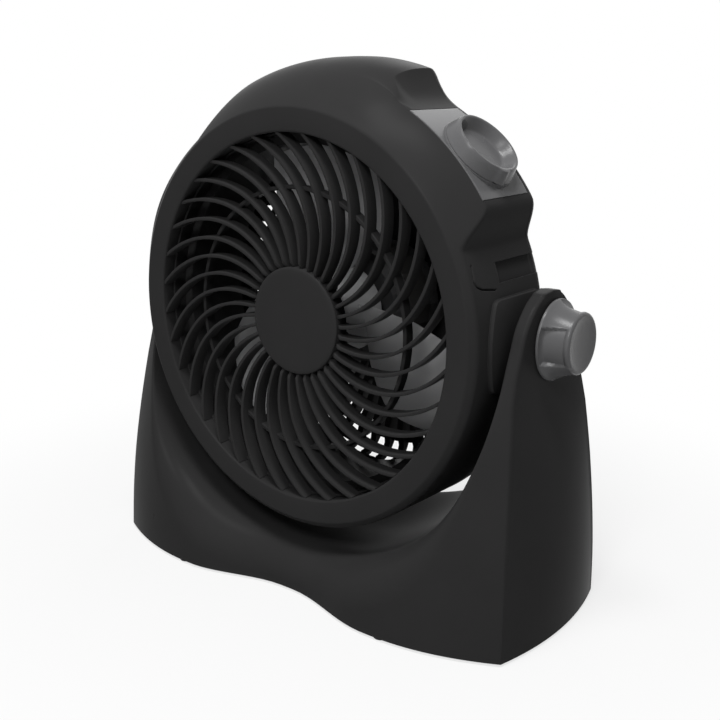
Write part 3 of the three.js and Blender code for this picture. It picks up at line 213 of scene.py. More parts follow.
def shape(name, points, faces):
    """Smooth-shaded object from points and quads. Doubles are merged, sharp edges stay
    crisp, and faces are turned so that the enclosed volume is positive."""
    a, b, c, d = (points[faces[:, k]] for k in range(4))
    volume = np.einsum("ij,ij->", a, np.cross(b, c)) + np.einsum("ij,ij->", a, np.cross(c, d))
    mesh = bpy.data.meshes.new(name)
    mesh.from_pydata(points.tolist(), [], (faces if volume > 0 else faces[:, ::-1]).tolist())
    weld(mesh)
    mesh.shade_smooth()
    mesh.set_sharp_from_angle(angle=math.radians(SHARP_DEG))
    thing = bpy.data.objects.new(name, mesh)
    bpy.context.scene.collection.objects.link(thing)
    return thing


def weld(mesh):
    """Merges points that coincide, which closes poles and joins stacked copies."""
    work = bmesh.new()
    work.from_mesh(mesh)
    bmesh.ops.remove_doubles(work, verts=work.verts, dist=2e-6)
    bmesh.ops.dissolve_degenerate(work, edges=work.edges, dist=1e-7)
    work.to_mesh(mesh)
    work.free()


def ease(x, low, high):
    """Cubic ease from 0 at low to 1 at high."""
    t = np.clip((x - low) / (high - low), 0, 1)
    return t * t * (3 - 2 * t)


def casing_radius(deg, y):
    """Radius of the casing at an angle and depth: the higher of drum and hood. The drum
    widens in a straight line from the lip's eased edge, with a low bulge. The hood is the
    lower of a front, which swells from the lip by a power curve, and a top line made of
    toe, panel seat, scoop, crown and a flat left ramp."""
    run = np.clip((SEAM_Y - y) / (SEAM_Y - LIP_Y), 0, 1)
    bulge = BULGE * np.exp(-((deg - BULGE_DEG) / BULGE_WIDE) ** 2)
    drum = DRUM_R - (DRUM_R - LIP_R) * run + bulge
    toe = drum + (PANEL_R - drum) * ease(deg, *TOE_DEG)
    crown = CREST_R + (CORNER_R - CREST_R) * np.clip((90 - deg) / (90 - CORNER_DEG), 0, 1)
    ramp = RAMP_R / np.cos(np.radians(np.clip(RAMP_DEG - deg, 0, 60)))
    crown = np.where(deg > RAMP_DEG, drum, np.minimum(crown, ramp))
    crest = np.maximum(crown - (CORNER_R - CREST_R) * (1 - ease(deg, *CREST_DEG)), CREST_R)
    front = crest - (crest - LIP_R) * run ** SWELL_POWER
    front = front - front_dip(deg, y)
    drum = drum - 0.5 * np.clip(1 - (y - LIP_Y) / 2.5, 0, 1) ** 2
    edge_deg = CORNER_DEG - 5.3 * ease(-y, 27, 44)
    rise = np.clip((deg - PANEL_TOP_DEG) / (edge_deg - PANEL_TOP_DEG), 0, 1) ** SCOOP_POWER
    scoop = PANEL_R + (np.maximum(front, PANEL_R) - PANEL_R) * rise
    below_scoop = deg < PANEL_TOP_DEG
    top = np.where(below_scoop, toe, np.where(deg < edge_deg, scoop, crown))
    soft = np.where(below_scoop, 0.5 + 2 * ease(-deg, -33.3, -25), 0.2)
    return -blunt(-drum, -blunt(front, top, soft), 0.8)


def blunt(a, b, k):
    """The lower of two heights with the crease between them rounded over a width k."""
    mix = np.clip(0.5 + (b - a) / (2 * k), 0, 1)
    return b + (a - b) * mix - k * mix * (1 - mix)


def front_dip(deg, y):
    """Sinks the hood behind a line that carries on the panel's front edge to the left, so
    that the line is a crisp ridge. The sink rises at once, then eases off, and dies out
    under the crown."""
    fade_out = ease(deg, 58, PANEL_TOP_DEG) * (1 - ease(deg, 66, 79))
    behind = np.clip(y - PANEL_FRONT_Y - 4.5 * ease(deg, PANEL_TOP_DEG, 75), 0, None) / DIP_LENGTH
    return DIP * fade_out * behind * np.exp(1 - behind)


def notched(deg, y):
    """Depth cut into the side: a latch recess whose floor ramps down, runs level across
    the seam and rises behind it, and a thin U-shaped slit round the snap tab in front."""
    beside = (deg > RECESS_DEG[0]) & (deg < RECESS_DEG[1])
    recess = ease(y, -35, -29.5) * (1 - ease(y, 11, 17)) * beside
    across = np.radians(deg) * DRUM_R
    near = np.full(np.broadcast(deg, y).shape, np.inf)
    for (start_deg, start_y), (end_deg, end_y) in zip(TAB_SLIT, TAB_SLIT[1:]):
        start, end = np.radians(start_deg) * DRUM_R, np.radians(end_deg) * DRUM_R
        length = (end - start) ** 2 + (end_y - start_y) ** 2
        t = ((across - start) * (end - start) + (y - start_y) * (end_y - start_y)) / length
        t = np.clip(t, 0, 1)
        off_x, off_y = across - start - t * (end - start), y - start_y - t * (end_y - start_y)
        near = np.minimum(near, np.hypot(off_x, off_y))
    return RECESS_DEEP * recess + SLIT_DEEP * np.clip(1.3 - near / SLIT_HALF, 0, 1)


def lines(*runs):
    """Sorted grid lines from (start, end, step) runs and single extra values."""
    parts = [np.arange(r[0], r[1], r[2]) if np.ndim(r) else np.array([r]) for r in runs]
    return np.unique(np.round(np.concatenate(parts), 4))


RECESS_LINES = [deg + side for deg in RECESS_DEG for side in (-STEP_DEG, STEP_DEG)]
PANEL_LINES = [PANEL_FOOT_DEG - 2 * STEP_DEG, PANEL_FOOT_DEG, PANEL_TOP_DEG, PANEL_TOP_DEG + 2 * STEP_DEG]
HEAD_DEGS = lines(
    *RECESS_LINES, *PANEL_LINES, CORNER_DEG - STEP_DEG, CORNER_DEG + STEP_DEG, (-60, 9, 1.5),
    (9, 13.6, 0.75), (13.6, 21.4, 0.16), (21.6, 33.2, 0.4), (34, 60, 1), (60.2, 73, 0.3),
    (73, 104, 1), (104, 128, 0.5), (128, 300, 1.5))
OUTER_YS = lines(
    (LIP_Y, -40, 0.5), PANEL_FRONT_Y - 0.2, PANEL_FRONT_Y - 0.1, PANEL_FRONT_Y,
    (-40, -36, 1.5), (-35.5, -28, 0.5), (-28, 7.2, 1.5), SEAM_Y)


def repeated(pairs, count):
    """Radii and depths of a profile, each as rows that are the same at every angle."""
    return [np.repeat(np.array(pairs)[None, :, k], count, 0) for k in (0, 1)]


def casing_loop(deg):
    """Loop of (radius, y) for each angle: up the throat, over the rounded lip, back along
    the outer skin to the seam, and forward again inside."""
    d = deg[:, None]
    y = OUTER_YS[None, :]
    on_panel = (d > PANEL_FOOT_DEG - STEP_DEG) & (d < PANEL_TOP_DEG + STEP_DEG)
    skin = casing_radius(d, y)
    seat = on_panel & (y > PANEL_FRONT_Y - 0.15)
    skin = np.where(seat, np.minimum(skin, PANEL_R - PANEL_SEAT), skin) - notched(d, y)
    turn = np.radians(np.linspace(180, 90, 6))
    opening = [(OPENING_R, THROAT_Y)]
    opening += [(OPENING_R + LIP_ROUND * (1 + math.cos(t)), LIP_FRONT_Y + LIP_ROUND * (1 - math.sin(t)))
                for t in turn]
    opening += [(r, LIP_FRONT_Y + behind) for r, behind in LIP_PROFILE]
    inner_y = np.array([SEAM_Y, 0, -15, -30, -42, -52, -60])
    by_recess = (d > 14) & (d < 22)
    under_seat = np.where(on_panel, PANEL_R - 5.5, np.where(by_recess, DRUM_R - 6, np.inf))
    inner = np.minimum(casing_radius(d, inner_y[None, :]) - INSIDE, under_seat)
    back = [(140, -65), (128.5, -65), (127.2, -62), (127.2, THROAT_Y)]
    open_r, open_y = repeated(opening, len(deg))
    back_r, back_y = repeated(back, len(deg))
    outer_y = np.repeat(OUTER_YS[None, :], len(deg), 0)
    inner_y = np.repeat(inner_y[None, :], len(deg), 0)
    return np.hstack([open_r, skin, inner, back_r]), np.hstack([open_y, outer_y, inner_y, back_y])


def around(deg, r, y):
    """Points at angles, radii and depths about the fan's axis, broadcast together."""
    a = np.radians(deg)
    return to_row(r * np.cos(a), y, r * np.sin(a))


head_shell = surface("head_casing", around(HEAD_DEGS[:, None], *casing_loop(HEAD_DEGS)))

DRIFT_SCALE = 22                     # patches per metre of the slow drifts
TINT_DRIFT, GLOSS_DRIFT = 0.10, 0.03
GRAIN_HEIGHT = 0.0002


def moulded(name, color, roughness, specular=0.5, grain=0.12, grain_size=0.0009):
    """Moulded plastic: fine grain in the surface, and slow drifts of colour and of gloss
    where the moulding cooled unevenly or has been handled."""
    material = bpy.data.materials.new(name)
    material.use_nodes = True
    nodes, links = material.node_tree.nodes, material.node_tree.links
    shader = nodes["Principled BSDF"]
    shader.inputs["Specular IOR Level"].default_value = specular
    at = nodes.new("ShaderNodeTexCoord")
    fine, slow = nodes.new("ShaderNodeTexNoise"), nodes.new("ShaderNodeTexNoise")
    fine.inputs["Scale"].default_value = 1 / grain_size
    fine.inputs["Detail"].default_value = 3
    slow.inputs["Scale"].default_value = DRIFT_SCALE
    slow.inputs["Detail"].default_value = 4
    tint, gloss = nodes.new("ShaderNodeMix"), nodes.new("ShaderNodeMapRange")
    tint.data_type = "RGBA"
    for socket, factor in ((6, 1 - TINT_DRIFT), (7, 1 + TINT_DRIFT)):
        tint.inputs[socket].default_value = (*[c * factor for c in color], 1)
    gloss.inputs["To Min"].default_value = roughness - GLOSS_DRIFT
    gloss.inputs["To Max"].default_value = roughness + GLOSS_DRIFT
    bump = nodes.new("ShaderNodeBump")
    bump.inputs["Strength"].default_value = grain
    bump.inputs["Distance"].default_value = GRAIN_HEIGHT
    for noise in (fine, slow):
        links.new(at.outputs["Object"], noise.inputs["Vector"])
    links.new(slow.outputs[0], tint.inputs[0])
    links.new(slow.outputs[0], gloss.inputs["Value"])
    links.new(fine.outputs[0], bump.inputs["Height"])
    links.new(tint.outputs[2], shader.inputs["Base Color"])
    links.new(gloss.outputs[0], shader.inputs["Roughness"])
    links.new(bump.outputs[0], shader.inputs["Normal"])
    return material


body_black = moulded("body_black_satin", (0.0222, 0.022, 0.0222), 0.29, 0.01)


def fit(piece, body, slot, material, *nodes):
    """Gives a piece its finish, lets it ride on a body, and puts it in its nodes' place."""
    piece.data.materials.clear()
    piece.data.materials.append(material)
    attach(piece, body)
    if nodes:
        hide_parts(*nodes)


fit(head_shell, "head", "body_black", body_black, "head_shell")


# ------------------------------------------------------------------ rear casing
# Black moulded shell behind the seam. It carries the hood's outline back, draws in with a
# rounded edge to a flat back wall, and is held by four screws through that wall.

REAR_DEGS = lines(*RECESS_LINES, (-60, 14, 2), (14.5, 21, 0.5), (21, 60, 1), (60, 73, 0.5),
                  (73, 128, 1), (128, 300, 2))
DRAW_IN = [(0.4, 7.8), (0.2, 8.1), (0.3, 10), (0.8, 12), (1.6, 13.5), (4, 17), (6.8, 20.2),
           (9.8, 23.8), (11.4, 26.3), (12.9, 28.6), (14, 29.6), (15.6, 30)]
BACK_OPENING = [(129.8, 30), (129.2, 29.8), (129, 29), (129, 27.5), (130, 27.5)]
INNER_DRAW_IN = [(16.4, 27.5), (12, 24), (8, 18), (6, 12), (5.6, 7.8)]
seam_r = casing_radius(REAR_DEGS[:, None], np.full((1, 1), SEAM_Y))
draw_r, draw_y = repeated(DRAW_IN, len(REAR_DEGS))
tail_r, tail_y = repeated(BACK_OPENING, len(REAR_DEGS))
in_draw, in_y = repeated(INNER_DRAW_IN, len(REAR_DEGS))
rear_r = np.hstack([seam_r - draw_r - notched(REAR_DEGS[:, None], draw_y), tail_r, seam_r - in_draw])
rear_points = around(REAR_DEGS[:, None], rear_r, np.hstack([draw_y, tail_y, in_y]))
rear_casing = surface("rear_casing", rear_points)
fit(rear_casing, "head", "body_black", body_black, "rear_housing")


# ------------------------------------------------------------------ control panel
# Grey moulded plate curved to the hood, with a low round collar for the dial. Its edges
# are eased and it sits flush in a seat in the black casing.

PANEL_GAP, PANEL_GAP_DEG = 0.1, 0.08
PANEL_THICK = 2.4
trim_grey = moulded("trim_grey_satin", (0.08, 0.08, 0.082), 0.27, 0.15)
DIAL_DEG, DIAL_Y = 45, -18
dial_out = np.array([math.cos(math.radians(DIAL_DEG)), 0, math.sin(math.radians(DIAL_DEG))])
dial_across = np.array([-dial_out[2], 0, dial_out[0]])


def eased(low, high, step, round_width=0.35):
    """Grid lines between two edges, with the inset and drop of a small round at each: the
    inset is the width less its cosine, and the drop the width less its sine."""
    inner = np.linspace(low + round_width, high - round_width, int((high - low) / step))
    turn = np.radians([0, 35, 65])
    start, drop = low + round_width * (1 - np.cos(turn)), round_width * (1 - np.sin(turn))
    values = np.concatenate([start, inner, low + high - start[::-1]])
    return values, np.concatenate([drop, np.zeros(len(inner)), drop[::-1]])


panel_across, across_drop = eased((PANEL_FOOT_DEG + PANEL_GAP_DEG) * math.pi / 180 * PANEL_R,
                                  (PANEL_TOP_DEG - PANEL_GAP_DEG) * math.pi / 180 * PANEL_R, 1.0)
panel_y, y_drop = eased(PANEL_FRONT_Y + PANEL_GAP, SEAM_Y - PANEL_GAP, 1.0)
panel_deg = np.degrees(panel_across / PANEL_R)[:, None]
panel_r = PANEL_R - np.maximum(across_drop[:, None], y_drop[None, :])


def plate(name, top, bottom):
    """Closed plate between two grids of points, walled round its edge."""
    rows, columns = top.shape[:2]
    index = np.arange(rows * columns).reshape(rows, columns)
    rim = np.concatenate([index[0, :-1], index[:-1, -1], index[-1, :0:-1], index[:0:-1, 0]])
    ahead, below = np.roll(rim, -1), rows * columns
    wall = np.stack([rim, ahead, ahead + below, rim + below], -1)
    faces = np.vstack([cells(index), cells(index)[:, ::-1] + below, wall])
    return shape(name, np.vstack([top.reshape(-1, 3), bottom.reshape(-1, 3)]), faces)


control_panel = plate("control_panel_plate", around(panel_deg, panel_r, panel_y[None, :]),
                      around(panel_deg, PANEL_R - PANEL_THICK, panel_y[None, :]))
fit(control_panel, "head", "trim_grey", trim_grey, "control_panel")


def on_dial(r, angle, height):
    """Points about the dial's axis: radius, angle from straight back, height above the
    panel at the axis."""
    r, angle, height = np.broadcast_arrays(r, angle, height)
    side, along = r * np.sin(angle), r * np.cos(angle)
    base = dial_out * PANEL_R + np.array([0, DIAL_Y, 0])
    points = base + side[..., None] * dial_across + along[..., None] * np.array([0, 1, 0])
    points = points + height[..., None] * dial_out
    return points * 0.001 + PIVOT


COLLAR_STEPS = 96
collar_turn = np.linspace(0, 2 * math.pi, COLLAR_STEPS + 1)[:-1][:, None]
collar_r = np.array([[22, 22.2, 26, 26.3, 26.6]])
collar_h = np.tile([-1.5, 0.3, 0.3, 0.1, 0], (COLLAR_STEPS, 1))
sag = PANEL_R - np.sqrt(PANEL_R ** 2 - (collar_r * np.sin(collar_turn)) ** 2)
collar_h[:, 4:] = -sag[:, 4:] - 0.6
collar = surface("dial_collar", on_dial(collar_r, collar_turn, collar_h)[:, ::-1])
fit(collar, "head", "trim_grey", trim_grey)


# ------------------------------------------------------------------ speed dial
# Grey round dial: a slightly tapered skirt, a thin rim, and a cone that falls to a flat
# floor. A low pointer swells from the skirt on one side.

dial_profile = np.array([
    (0, 2.4), (6, 2.4), (12, 2.4), (14.6, 2.4), (15.6, 2.5), (16.3, 2.9), (16.9, 3.6), (18.6, 6.1),
    (20.4, 8.6), (20.9, 9.2), (21.4, 9.5), (22.0, 9.55), (22.5, 9.4), (22.8, 9.0), (23.5, 7.3),
    (24.6, 4.3), (25.8, 1.3), (26.0, 0.8), (25.9, 0.45), (22.5, 0.45), (22.5, 1.0), (0, 1.0)])
POINTER_TURN = math.radians(254)
POINTER_HALF, POINTER_OUT = 0.17, 1.6
dial_turn = np.linspace(0, 2 * math.pi, 145)[:-1][:, None]
swing = np.angle(np.exp(1j * (dial_turn - POINTER_TURN)))
pointer = np.exp(-(swing / POINTER_HALF) ** 4)
outside = ease(dial_profile[None, :, 0], 21.2, 22.6) * (dial_profile[None, :, 1] > 1.1)
dial_r = dial_profile[None, :, 0] + POINTER_OUT * pointer * outside
dial = surface("speed_dial_cup", on_dial(dial_r, dial_turn, dial_profile[None, :, 1]))
fit(dial, "dial", "trim_grey", trim_grey, "speed_dial")


# ------------------------------------------------------------------ front grille
# One black moulding: 36 blade-like vanes that leave the hub square, bend, and sweep to
# the rim, a support ring behind their middle, an outer band, and the hub's cup.

VANES, FIRST_VANE_DEG = 36, 94.4
VANE_ROOT_R, VANE_END_R = 35.6, 125.4
VANE_FRONT_Y, VANE_FORWARD = -63.6, 3.2
SWEEP_R = 37                         # where a vane leaves the hub
SWEEP = 50.77, -11.29, -6.81         # degrees: linear, square and cubic
HUB_R = 36.8


def swept(r):
    """Degrees by which a vane trails its tip at a radius: a cubic in the way in, which is
    0 at the opening and 1 at the hub."""
    inward = (OPENING_R - r) / (OPENING_R - SWEEP_R)
    return SWEEP[0] * inward + SWEEP[1] * inward ** 2 + SWEEP[2] * inward ** 3


def stacked(name, grids):
    """One object from many like grids, each closed at both ends by a strip of quads."""
    faces, points, start = [], [], 0
    for grid in grids:
        rows, columns = grid.shape[:2]
        index = np.arange(rows * columns).reshape(rows, columns) + start
        faces.append(cells(np.hstack([index, index[:, :1]])))
        for row, order in ((index[0], 1), (index[-1], -1)):
            half = columns // 2
            up, down = row[:half], row[half:][::-1]
            cap = np.stack([up[:-1], up[1:], down[1:], down[:-1]], -1)
            faces.append(cap[:, ::order])
        points.append(grid.reshape(-1, 3))
        start += rows * columns
    return shape(name, np.vstack(points), np.vstack(faces))


vane_r = np.concatenate([np.linspace(VANE_ROOT_R, 60, 12), np.linspace(64, VANE_END_R, 16)])
vane_outward = (vane_r - SWEEP_R) / (OPENING_R - SWEEP_R)
vane_front = VANE_FRONT_Y - VANE_FORWARD * vane_outward + 2.6 * ease(-vane_r, -38.5, -37.3)
vane_section = np.array([
    (-1.0, 10.1), (-1.2, 0.5), (-1.05, 0.12), (-0.75, 0), (0.75, 0), (1.05, 0.12), (1.2, 0.5),
    (1.0, 10.1), (0.7, 10.4), (-0.7, 10.4)])


def vane(tip_deg):
    """Vane along its swept line: the section of (side, depth) is set square to that line
    all the way."""
    a = np.radians(tip_deg - swept(vane_r))
    x, z = vane_r * np.cos(a), vane_r * np.sin(a)
    dx, dz = np.gradient(x, vane_r), np.gradient(z, vane_r)
    size = np.hypot(dx, dz)
    centre = np.stack([x, vane_front, z], -1)
    side = np.stack([-dz / size, np.zeros_like(dx), dx / size], -1)
    points = centre[:, None] + vane_section[None, :, :1] * side[:, None]
    points[..., 1] += vane_section[None, :, 1]
    return points * 0.001 + PIVOT


grille_vanes = stacked(
    "grille_vanes", [vane(FIRST_VANE_DEG + 360 / VANES * k) for k in range(VANES)])
fit(grille_vanes, "head", "body_black", body_black, "front_grille")


def turned(name, profile, segments):
    """Solid of revolution about the fan's axis from a closed profile of (radius, y)."""
    profile = np.array(profile, float)
    deg = np.linspace(0, 360, segments + 1)[:-1]
    return surface(name, around(deg[:, None], profile[None, :, 0], profile[None, :, 1]))


grille_band = turned("grille_band", [
    (123.2, -58), (124.2, -58.4), (124.7, -58), (124.7, -49.7), (130.6, -49.7), (130.6, -47.7),
    (123.2, -47.7)], 180)
grille_ring = turned("grille_ring", [
    (88.0, -60), (88.5, -60.4), (90.3, -60.4), (90.8, -60), (90.6, -53), (88.2, -53)], 160)
grille_hub = turned("grille_hub", [
    (4.4, -61.8), (HUB_R - 0.2, -61.8), (HUB_R, -61.5), (HUB_R, -52.6), (HUB_R - 0.4, -52.2),
    (34.4, -52.2), (34.2, -59.2), (4.4, -59.2)], 120)
for part in (grille_band, grille_ring, grille_hub):
    fit(part, "head", "body_black", body_black)


# ------------------------------------------------------------------ hub cap
# Plain black disc pressed into the middle of the grille, very slightly crowned, with an
# eased edge. It is bare.

hub_cap = turned("hub_cap_disc", [
    (0, -64.1), (6, -64.1), (12, -64.08), (18, -64.05), (24, -64.0), (30, -63.93), (34.5, -63.8),
    (35.9, -63.6), (36.5, -63.25), (HUB_R, -62.8), (HUB_R, -62.3), (36.4, -62.1), (4, -62.1),
    (4, -57.1), (0, -57.1)], 120)
fit(hub_cap, "head", "body_black", body_black, "hub_cap")


# ------------------------------------------------------------------ impeller
# Light grey moulding of three broad blades on a hub. Each blade's front edge leads and
# its root and tip sweep back; the hub is a cup with a rounded front.

blade_grey = moulded("blade_grey_smooth", (0.36, 0.36, 0.365), 0.42, 0.3, 0.05)
LEAD_R = np.array([26, 42, 60, 75, 88, 97, 116])
LEAD_DEG = np.array([22.6, 13, 5.8, 3.1, -0.8, -2.7, -7])
TRAIL_DEG = np.array([-40, -56, -60, -60, -56, -51, -41])
BLADE_R = (28, 115.4)
BLADE_FRONT_Y, BLADE_FALL = -30, 20
CHORD_STEPS = 20


def blade(turn_deg):
    """Blade between a leading and a trailing line given over the radius. It falls back
    steeply at first and then levels out along the chord, and is thickest in its middle."""
    r = np.linspace(*BLADE_R, 22)[:, None]
    chord, one = np.linspace(0, 1, CHORD_STEPS), np.ones(CHORD_STEPS)
    share = np.concatenate([chord, chord[::-1]])[None, :]
    face = np.concatenate([one, -one])[None, :]
    lead = np.interp(r, LEAD_R, LEAD_DEG)
    trail = np.interp(r, LEAD_R, TRAIL_DEG)
    deg = turn_deg + lead + (trail - lead) * share
    thick = 0.5 + 0.8 * np.clip(4 * share * (1 - share), 0, 1) ** 0.25
    y = BLADE_FRONT_Y + BLADE_FALL * share ** 0.9 - 2 * np.sin(math.pi * share) - face * thick
    return around(deg, r, y)


blades = stacked("impeller_blades", [blade(t) for t in (0, 120, 240)])
fit(blades, "impeller", "blade_grey", blade_grey, "impeller")
impeller_hub = turned("impeller_hub", [
    (4.3, -42), (24, -42), (28, -41.4), (30.2, -39.8), (31, -37.5), (31, -6), (28.5, -6),
    (28.5, -38), (9.3, -38), (9.3, -12), (4.3, -12)], 96)
fit(impeller_hub, "impeller", "blade_grey", blade_grey)


# ------------------------------------------------------------------ duct
# Black ring close round the blade tips, flanged where it meets the grille.

duct = turned("duct_wall", [
    (117, -46.6), (117.6, -47.4), (129, -47.4), (129, -45.4), (119.6, -45.4), (119, -44.8), (119, 6),
    (118.6, 6.4), (117.2, 6.4), (117, 6)], 180)
fit(duct, "head", "body_black", body_black, "duct_ring")


# ------------------------------------------------------------------ rear guard
# Black domed grille behind the fan: a flange on the back wall, rings of bars, and ribs
# that run from the flange to a flat centre, which carries the motor.

GUARD_RIBS = 54
GUARD_HOOPS = (0.21, 0.41, 0.61, 0.8)
HOOP_SECTION = ((-3.2, -2.4), (1.2, -2.4), (1.4, -0.6), (-2.6, -0.2))
DOME_R, DOME_WIDE = 56, 74
DOME_Y, DOME_DEEP = 32.5, 31.5


def dome(share):
    """Radius and depth on the guard's outer skin, a quarter ellipse from rim to centre."""
    a = share * math.pi / 2
    return DOME_R + DOME_WIDE * np.cos(a), DOME_Y + DOME_DEEP * np.sin(a)


rib_share = np.linspace(0, 0.97, 16)
rib_r, rib_y = dome(rib_share)
rib_side = np.array([-2.5, -2.5, -2.1, 2.1, 2.5, 2.5])
rib_deeper = 8 * ease(rib_share, 0.28, 0.5)[:, None]
rib_in = np.array([4.5, 0.4, 0, 0, 0.4, 4.5]) + np.array([1, 0, 0, 0, 0, 1]) * rib_deeper


def rib(deg):
    """Bar along the dome at one angle, deeper towards the centre, with eased corners."""
    a = math.radians(deg)
    out = np.array([math.cos(a), 0, math.sin(a)])
    side = np.array([-math.sin(a), 0, math.cos(a)])
    slope = np.arctan2(np.gradient(rib_y), -np.gradient(rib_r))
    normal = np.sin(slope)[:, None] * out + np.cos(slope)[:, None] * np.array([0, 1, 0])
    centre = rib_r[:, None] * out + rib_y[:, None] * np.array([0, 1, 0])
    points = centre[:, None] + rib_side[None, :, None] * side - rib_in[..., None] * normal[:, None]
    return points * 0.001 + PIVOT


guard_ribs = stacked("guard_ribs", [rib(360 / GUARD_RIBS * (k + 0.5)) for k in range(GUARD_RIBS)])
fit(guard_ribs, "head", "body_black", body_black, "rear_guard")
guard_flange = turned("guard_flange", [
    (127, 30.3), (133.6, 30.3), (133.6, 31.4), (133, 32), (130.4, 32.4), (129.4, 33.4), (127.4, 33.4),
    (127, 33)], 160)
fit(guard_flange, "head", "body_black", body_black)
for number, share in enumerate(GUARD_HOOPS, 1):
    hoop_r, hoop_y = dome(share)
    section = [(hoop_r + out, hoop_y + back) for out, back in HOOP_SECTION]
    hoop = turned(f"guard_hoop_{number}", section, 140)
    fit(hoop, "head", "body_black", body_black)
guard_centre = turned("guard_centre", [
    (20, 61.8), (20, 63.6), (20.4, 64), (56, 64), (60, 63.6), (61, 62.6), (60.4, 61.4), (56, 61.8)], 120)
fit(guard_centre, "head", "body_black", body_black)


# ------------------------------------------------------------------ rear cover
# Black dished cap over the motor's tail, with a rounded rim and a shallow step.

rear_cover = turned("rear_cover_cap", [
    (49.9, 64.4), (50, 70.4), (49.6, 72.6), (48.3, 74.8), (46, 76.1), (43.5, 76.3), (41.8, 76.1),
    (41, 75.2), (12, 75.2), (0, 75.2), (0, 73), (38, 73), (44, 72), (47.4, 69), (47.4, 64.4)], 120)
fit(rear_cover, "head", "body_black", body_black, "rear_cover")


# ------------------------------------------------------------------ trunnions
# Black cheeks moulded on the drum's sides. Each is a disc cut flat above and below, with
# a fine eased edge, standing just off the drum.

SIDES = ((1, "right"), (-1, "left"))
TRUNNION_R, TRUNNION_FLAT, TRUNNION_REAR = 52.6, 29.4, 24
CORNER_CUT, CORNER_WAY = 25.5, (0.66, 0.75)
OUTLINE_POWER = -30.0
CHEEK_X, CHEEK_STEP = 148.3, 2.9
HUB_FACE_X, HUB_DEEP_X = 149.6, 140
CHEEK_STEPS = 240
trunnion_turn = np.linspace(0, 2 * math.pi, CHEEK_STEPS + 1)[:-1]


def trunnion(side):
    """Cheek as rings about the pivot. The outline is a disc, cut off above, below, behind
    and across the rear corners by straight lines, joined by a high power mean. The rings
    rise from a fine ledge on the drum to a face that follows it, up to a flat, and step
    up to a round hub."""
    c, s = np.cos(trunnion_turn), np.sin(trunnion_turn)
    above = TRUNNION_FLAT / np.maximum(np.abs(s), 1e-3)
    behind = TRUNNION_REAR / np.maximum(c, 1e-3)
    corner = CORNER_CUT / np.maximum(CORNER_WAY[0] * c + CORNER_WAY[1] * np.abs(s), 1e-3)
    limits = np.stack([np.full(CHEEK_STEPS, TRUNNION_R), above, behind, corner])
    edge = (limits ** OUTLINE_POWER).sum(0) ** (1 / OUTLINE_POWER)
    r = np.hstack([edge[:, None] + np.array([0.7, 0.7, 0.45, 0.1, 0, -0.1, -0.5]),
                   np.tile([20.6, 20, 12, 8], (CHEEK_STEPS, 1))])
    y, z = r * c[:, None], r * s[:, None]
    drum = DRUM_R - (DRUM_R - LIP_R) * np.clip((SEAM_Y - y) / (SEAM_Y - LIP_Y), 0, 1)
    on_drum = np.sqrt(drum ** 2 - z ** 2)
    face = np.minimum(on_drum + CHEEK_STEP, CHEEK_X)
    ledge = on_drum[:, :4] + np.array([-4, 0.35, 0.6, 0.6])
    eased_face = face[:, 4:8] - np.array([0.5, 0.1, 0, 0])
    hub = np.tile([HUB_FACE_X, HUB_FACE_X, HUB_DEEP_X], (CHEEK_STEPS, 1))
    return to_row(side * np.hstack([ledge, eased_face, hub]), y, z)


for side, name in SIDES:
    cheek = surface(f"trunnion_cheek_{name}", trunnion(side))
    fit(cheek, "head", "body_black", body_black, f"trunnion_{name}")


# ------------------------------------------------------------------ tilt knobs
# Grey moulded knobs outside the arms. A thin flange flares in to a round end with a
# dished face, and three shallow panels are sunk into the flare for the fingers.

KNOB_SEAT = 162.3
FINGER_HALF = (11.4, 12.2)           # where a finger panel's side wall starts and ends
SUNK_R, SUNK_TAPER = 21.8, 0.2       # the panels' floor: radius near the flange, fall outward
knob_profile = np.array([
    (4.4, 0), (25.6, 0), (26.2, 0.5), (26.2, 1.4), (26.0, 1.9), (25.7, 2.4), (25.1, 3.2), (24.4, 4.3),
    (23.6, 5.8), (22.8, 7.6), (22.0, 9.6), (21.3, 11.6), (20.7, 13.6), (20.3, 15.2), (20.1, 16.2),
    (19.9, 17.2), (19.7, 18.0), (19.45, 18.5), (19.0, 18.95), (18.4, 19.2), (17.8, 19.3), (17.1, 19.2),
    (15.6, 18.8), (13.0, 18.3), (10, 17.9), (5, 17.6), (0, 17.5), (0, 14), (4.4, 14)])
knob_turn = np.linspace(0, 2 * math.pi, 217)[:-1][:, None]


def knob(side):
    """Knob about the pivot's axis. Three finger panels are sunk in the flare: their floor
    is a slimmer cone, and their steep side walls keep one distance apart."""
    r, h = knob_profile[None, :, 0], knob_profile[None, :, 1]
    across = np.angle(np.exp(3j * (knob_turn - math.pi))) / 3
    sunk = np.minimum(r - 0.4, SUNK_R - SUNK_TAPER * (h - 2))
    inside = 1 - ease(r * np.sin(np.abs(across)), *FINGER_HALF)
    along = ease(h, 1.9, 2.6) * (1 - ease(h, 15.6, 16.6)) * (r > 19.6)
    radius = r + (sunk - r) * inside * along
    return to_row(side * (KNOB_SEAT + h), radius * np.cos(knob_turn), radius * np.sin(knob_turn))


for side, name in SIDES:
    grip = surface(f"tilt_knob_grip_{name}", knob(side))
    fit(grip, f"knob_{name}", "trim_grey", trim_grey, f"tilt_knob_{name}")


# ------------------------------------------------------------------ stand
# Black hollow moulding with two arms and a low saddle. Its front and back swell in two
# lobes, its sides bow out, and the saddle rolls over into the front and back with a
# large soft round that tightens as it climbs the arms.

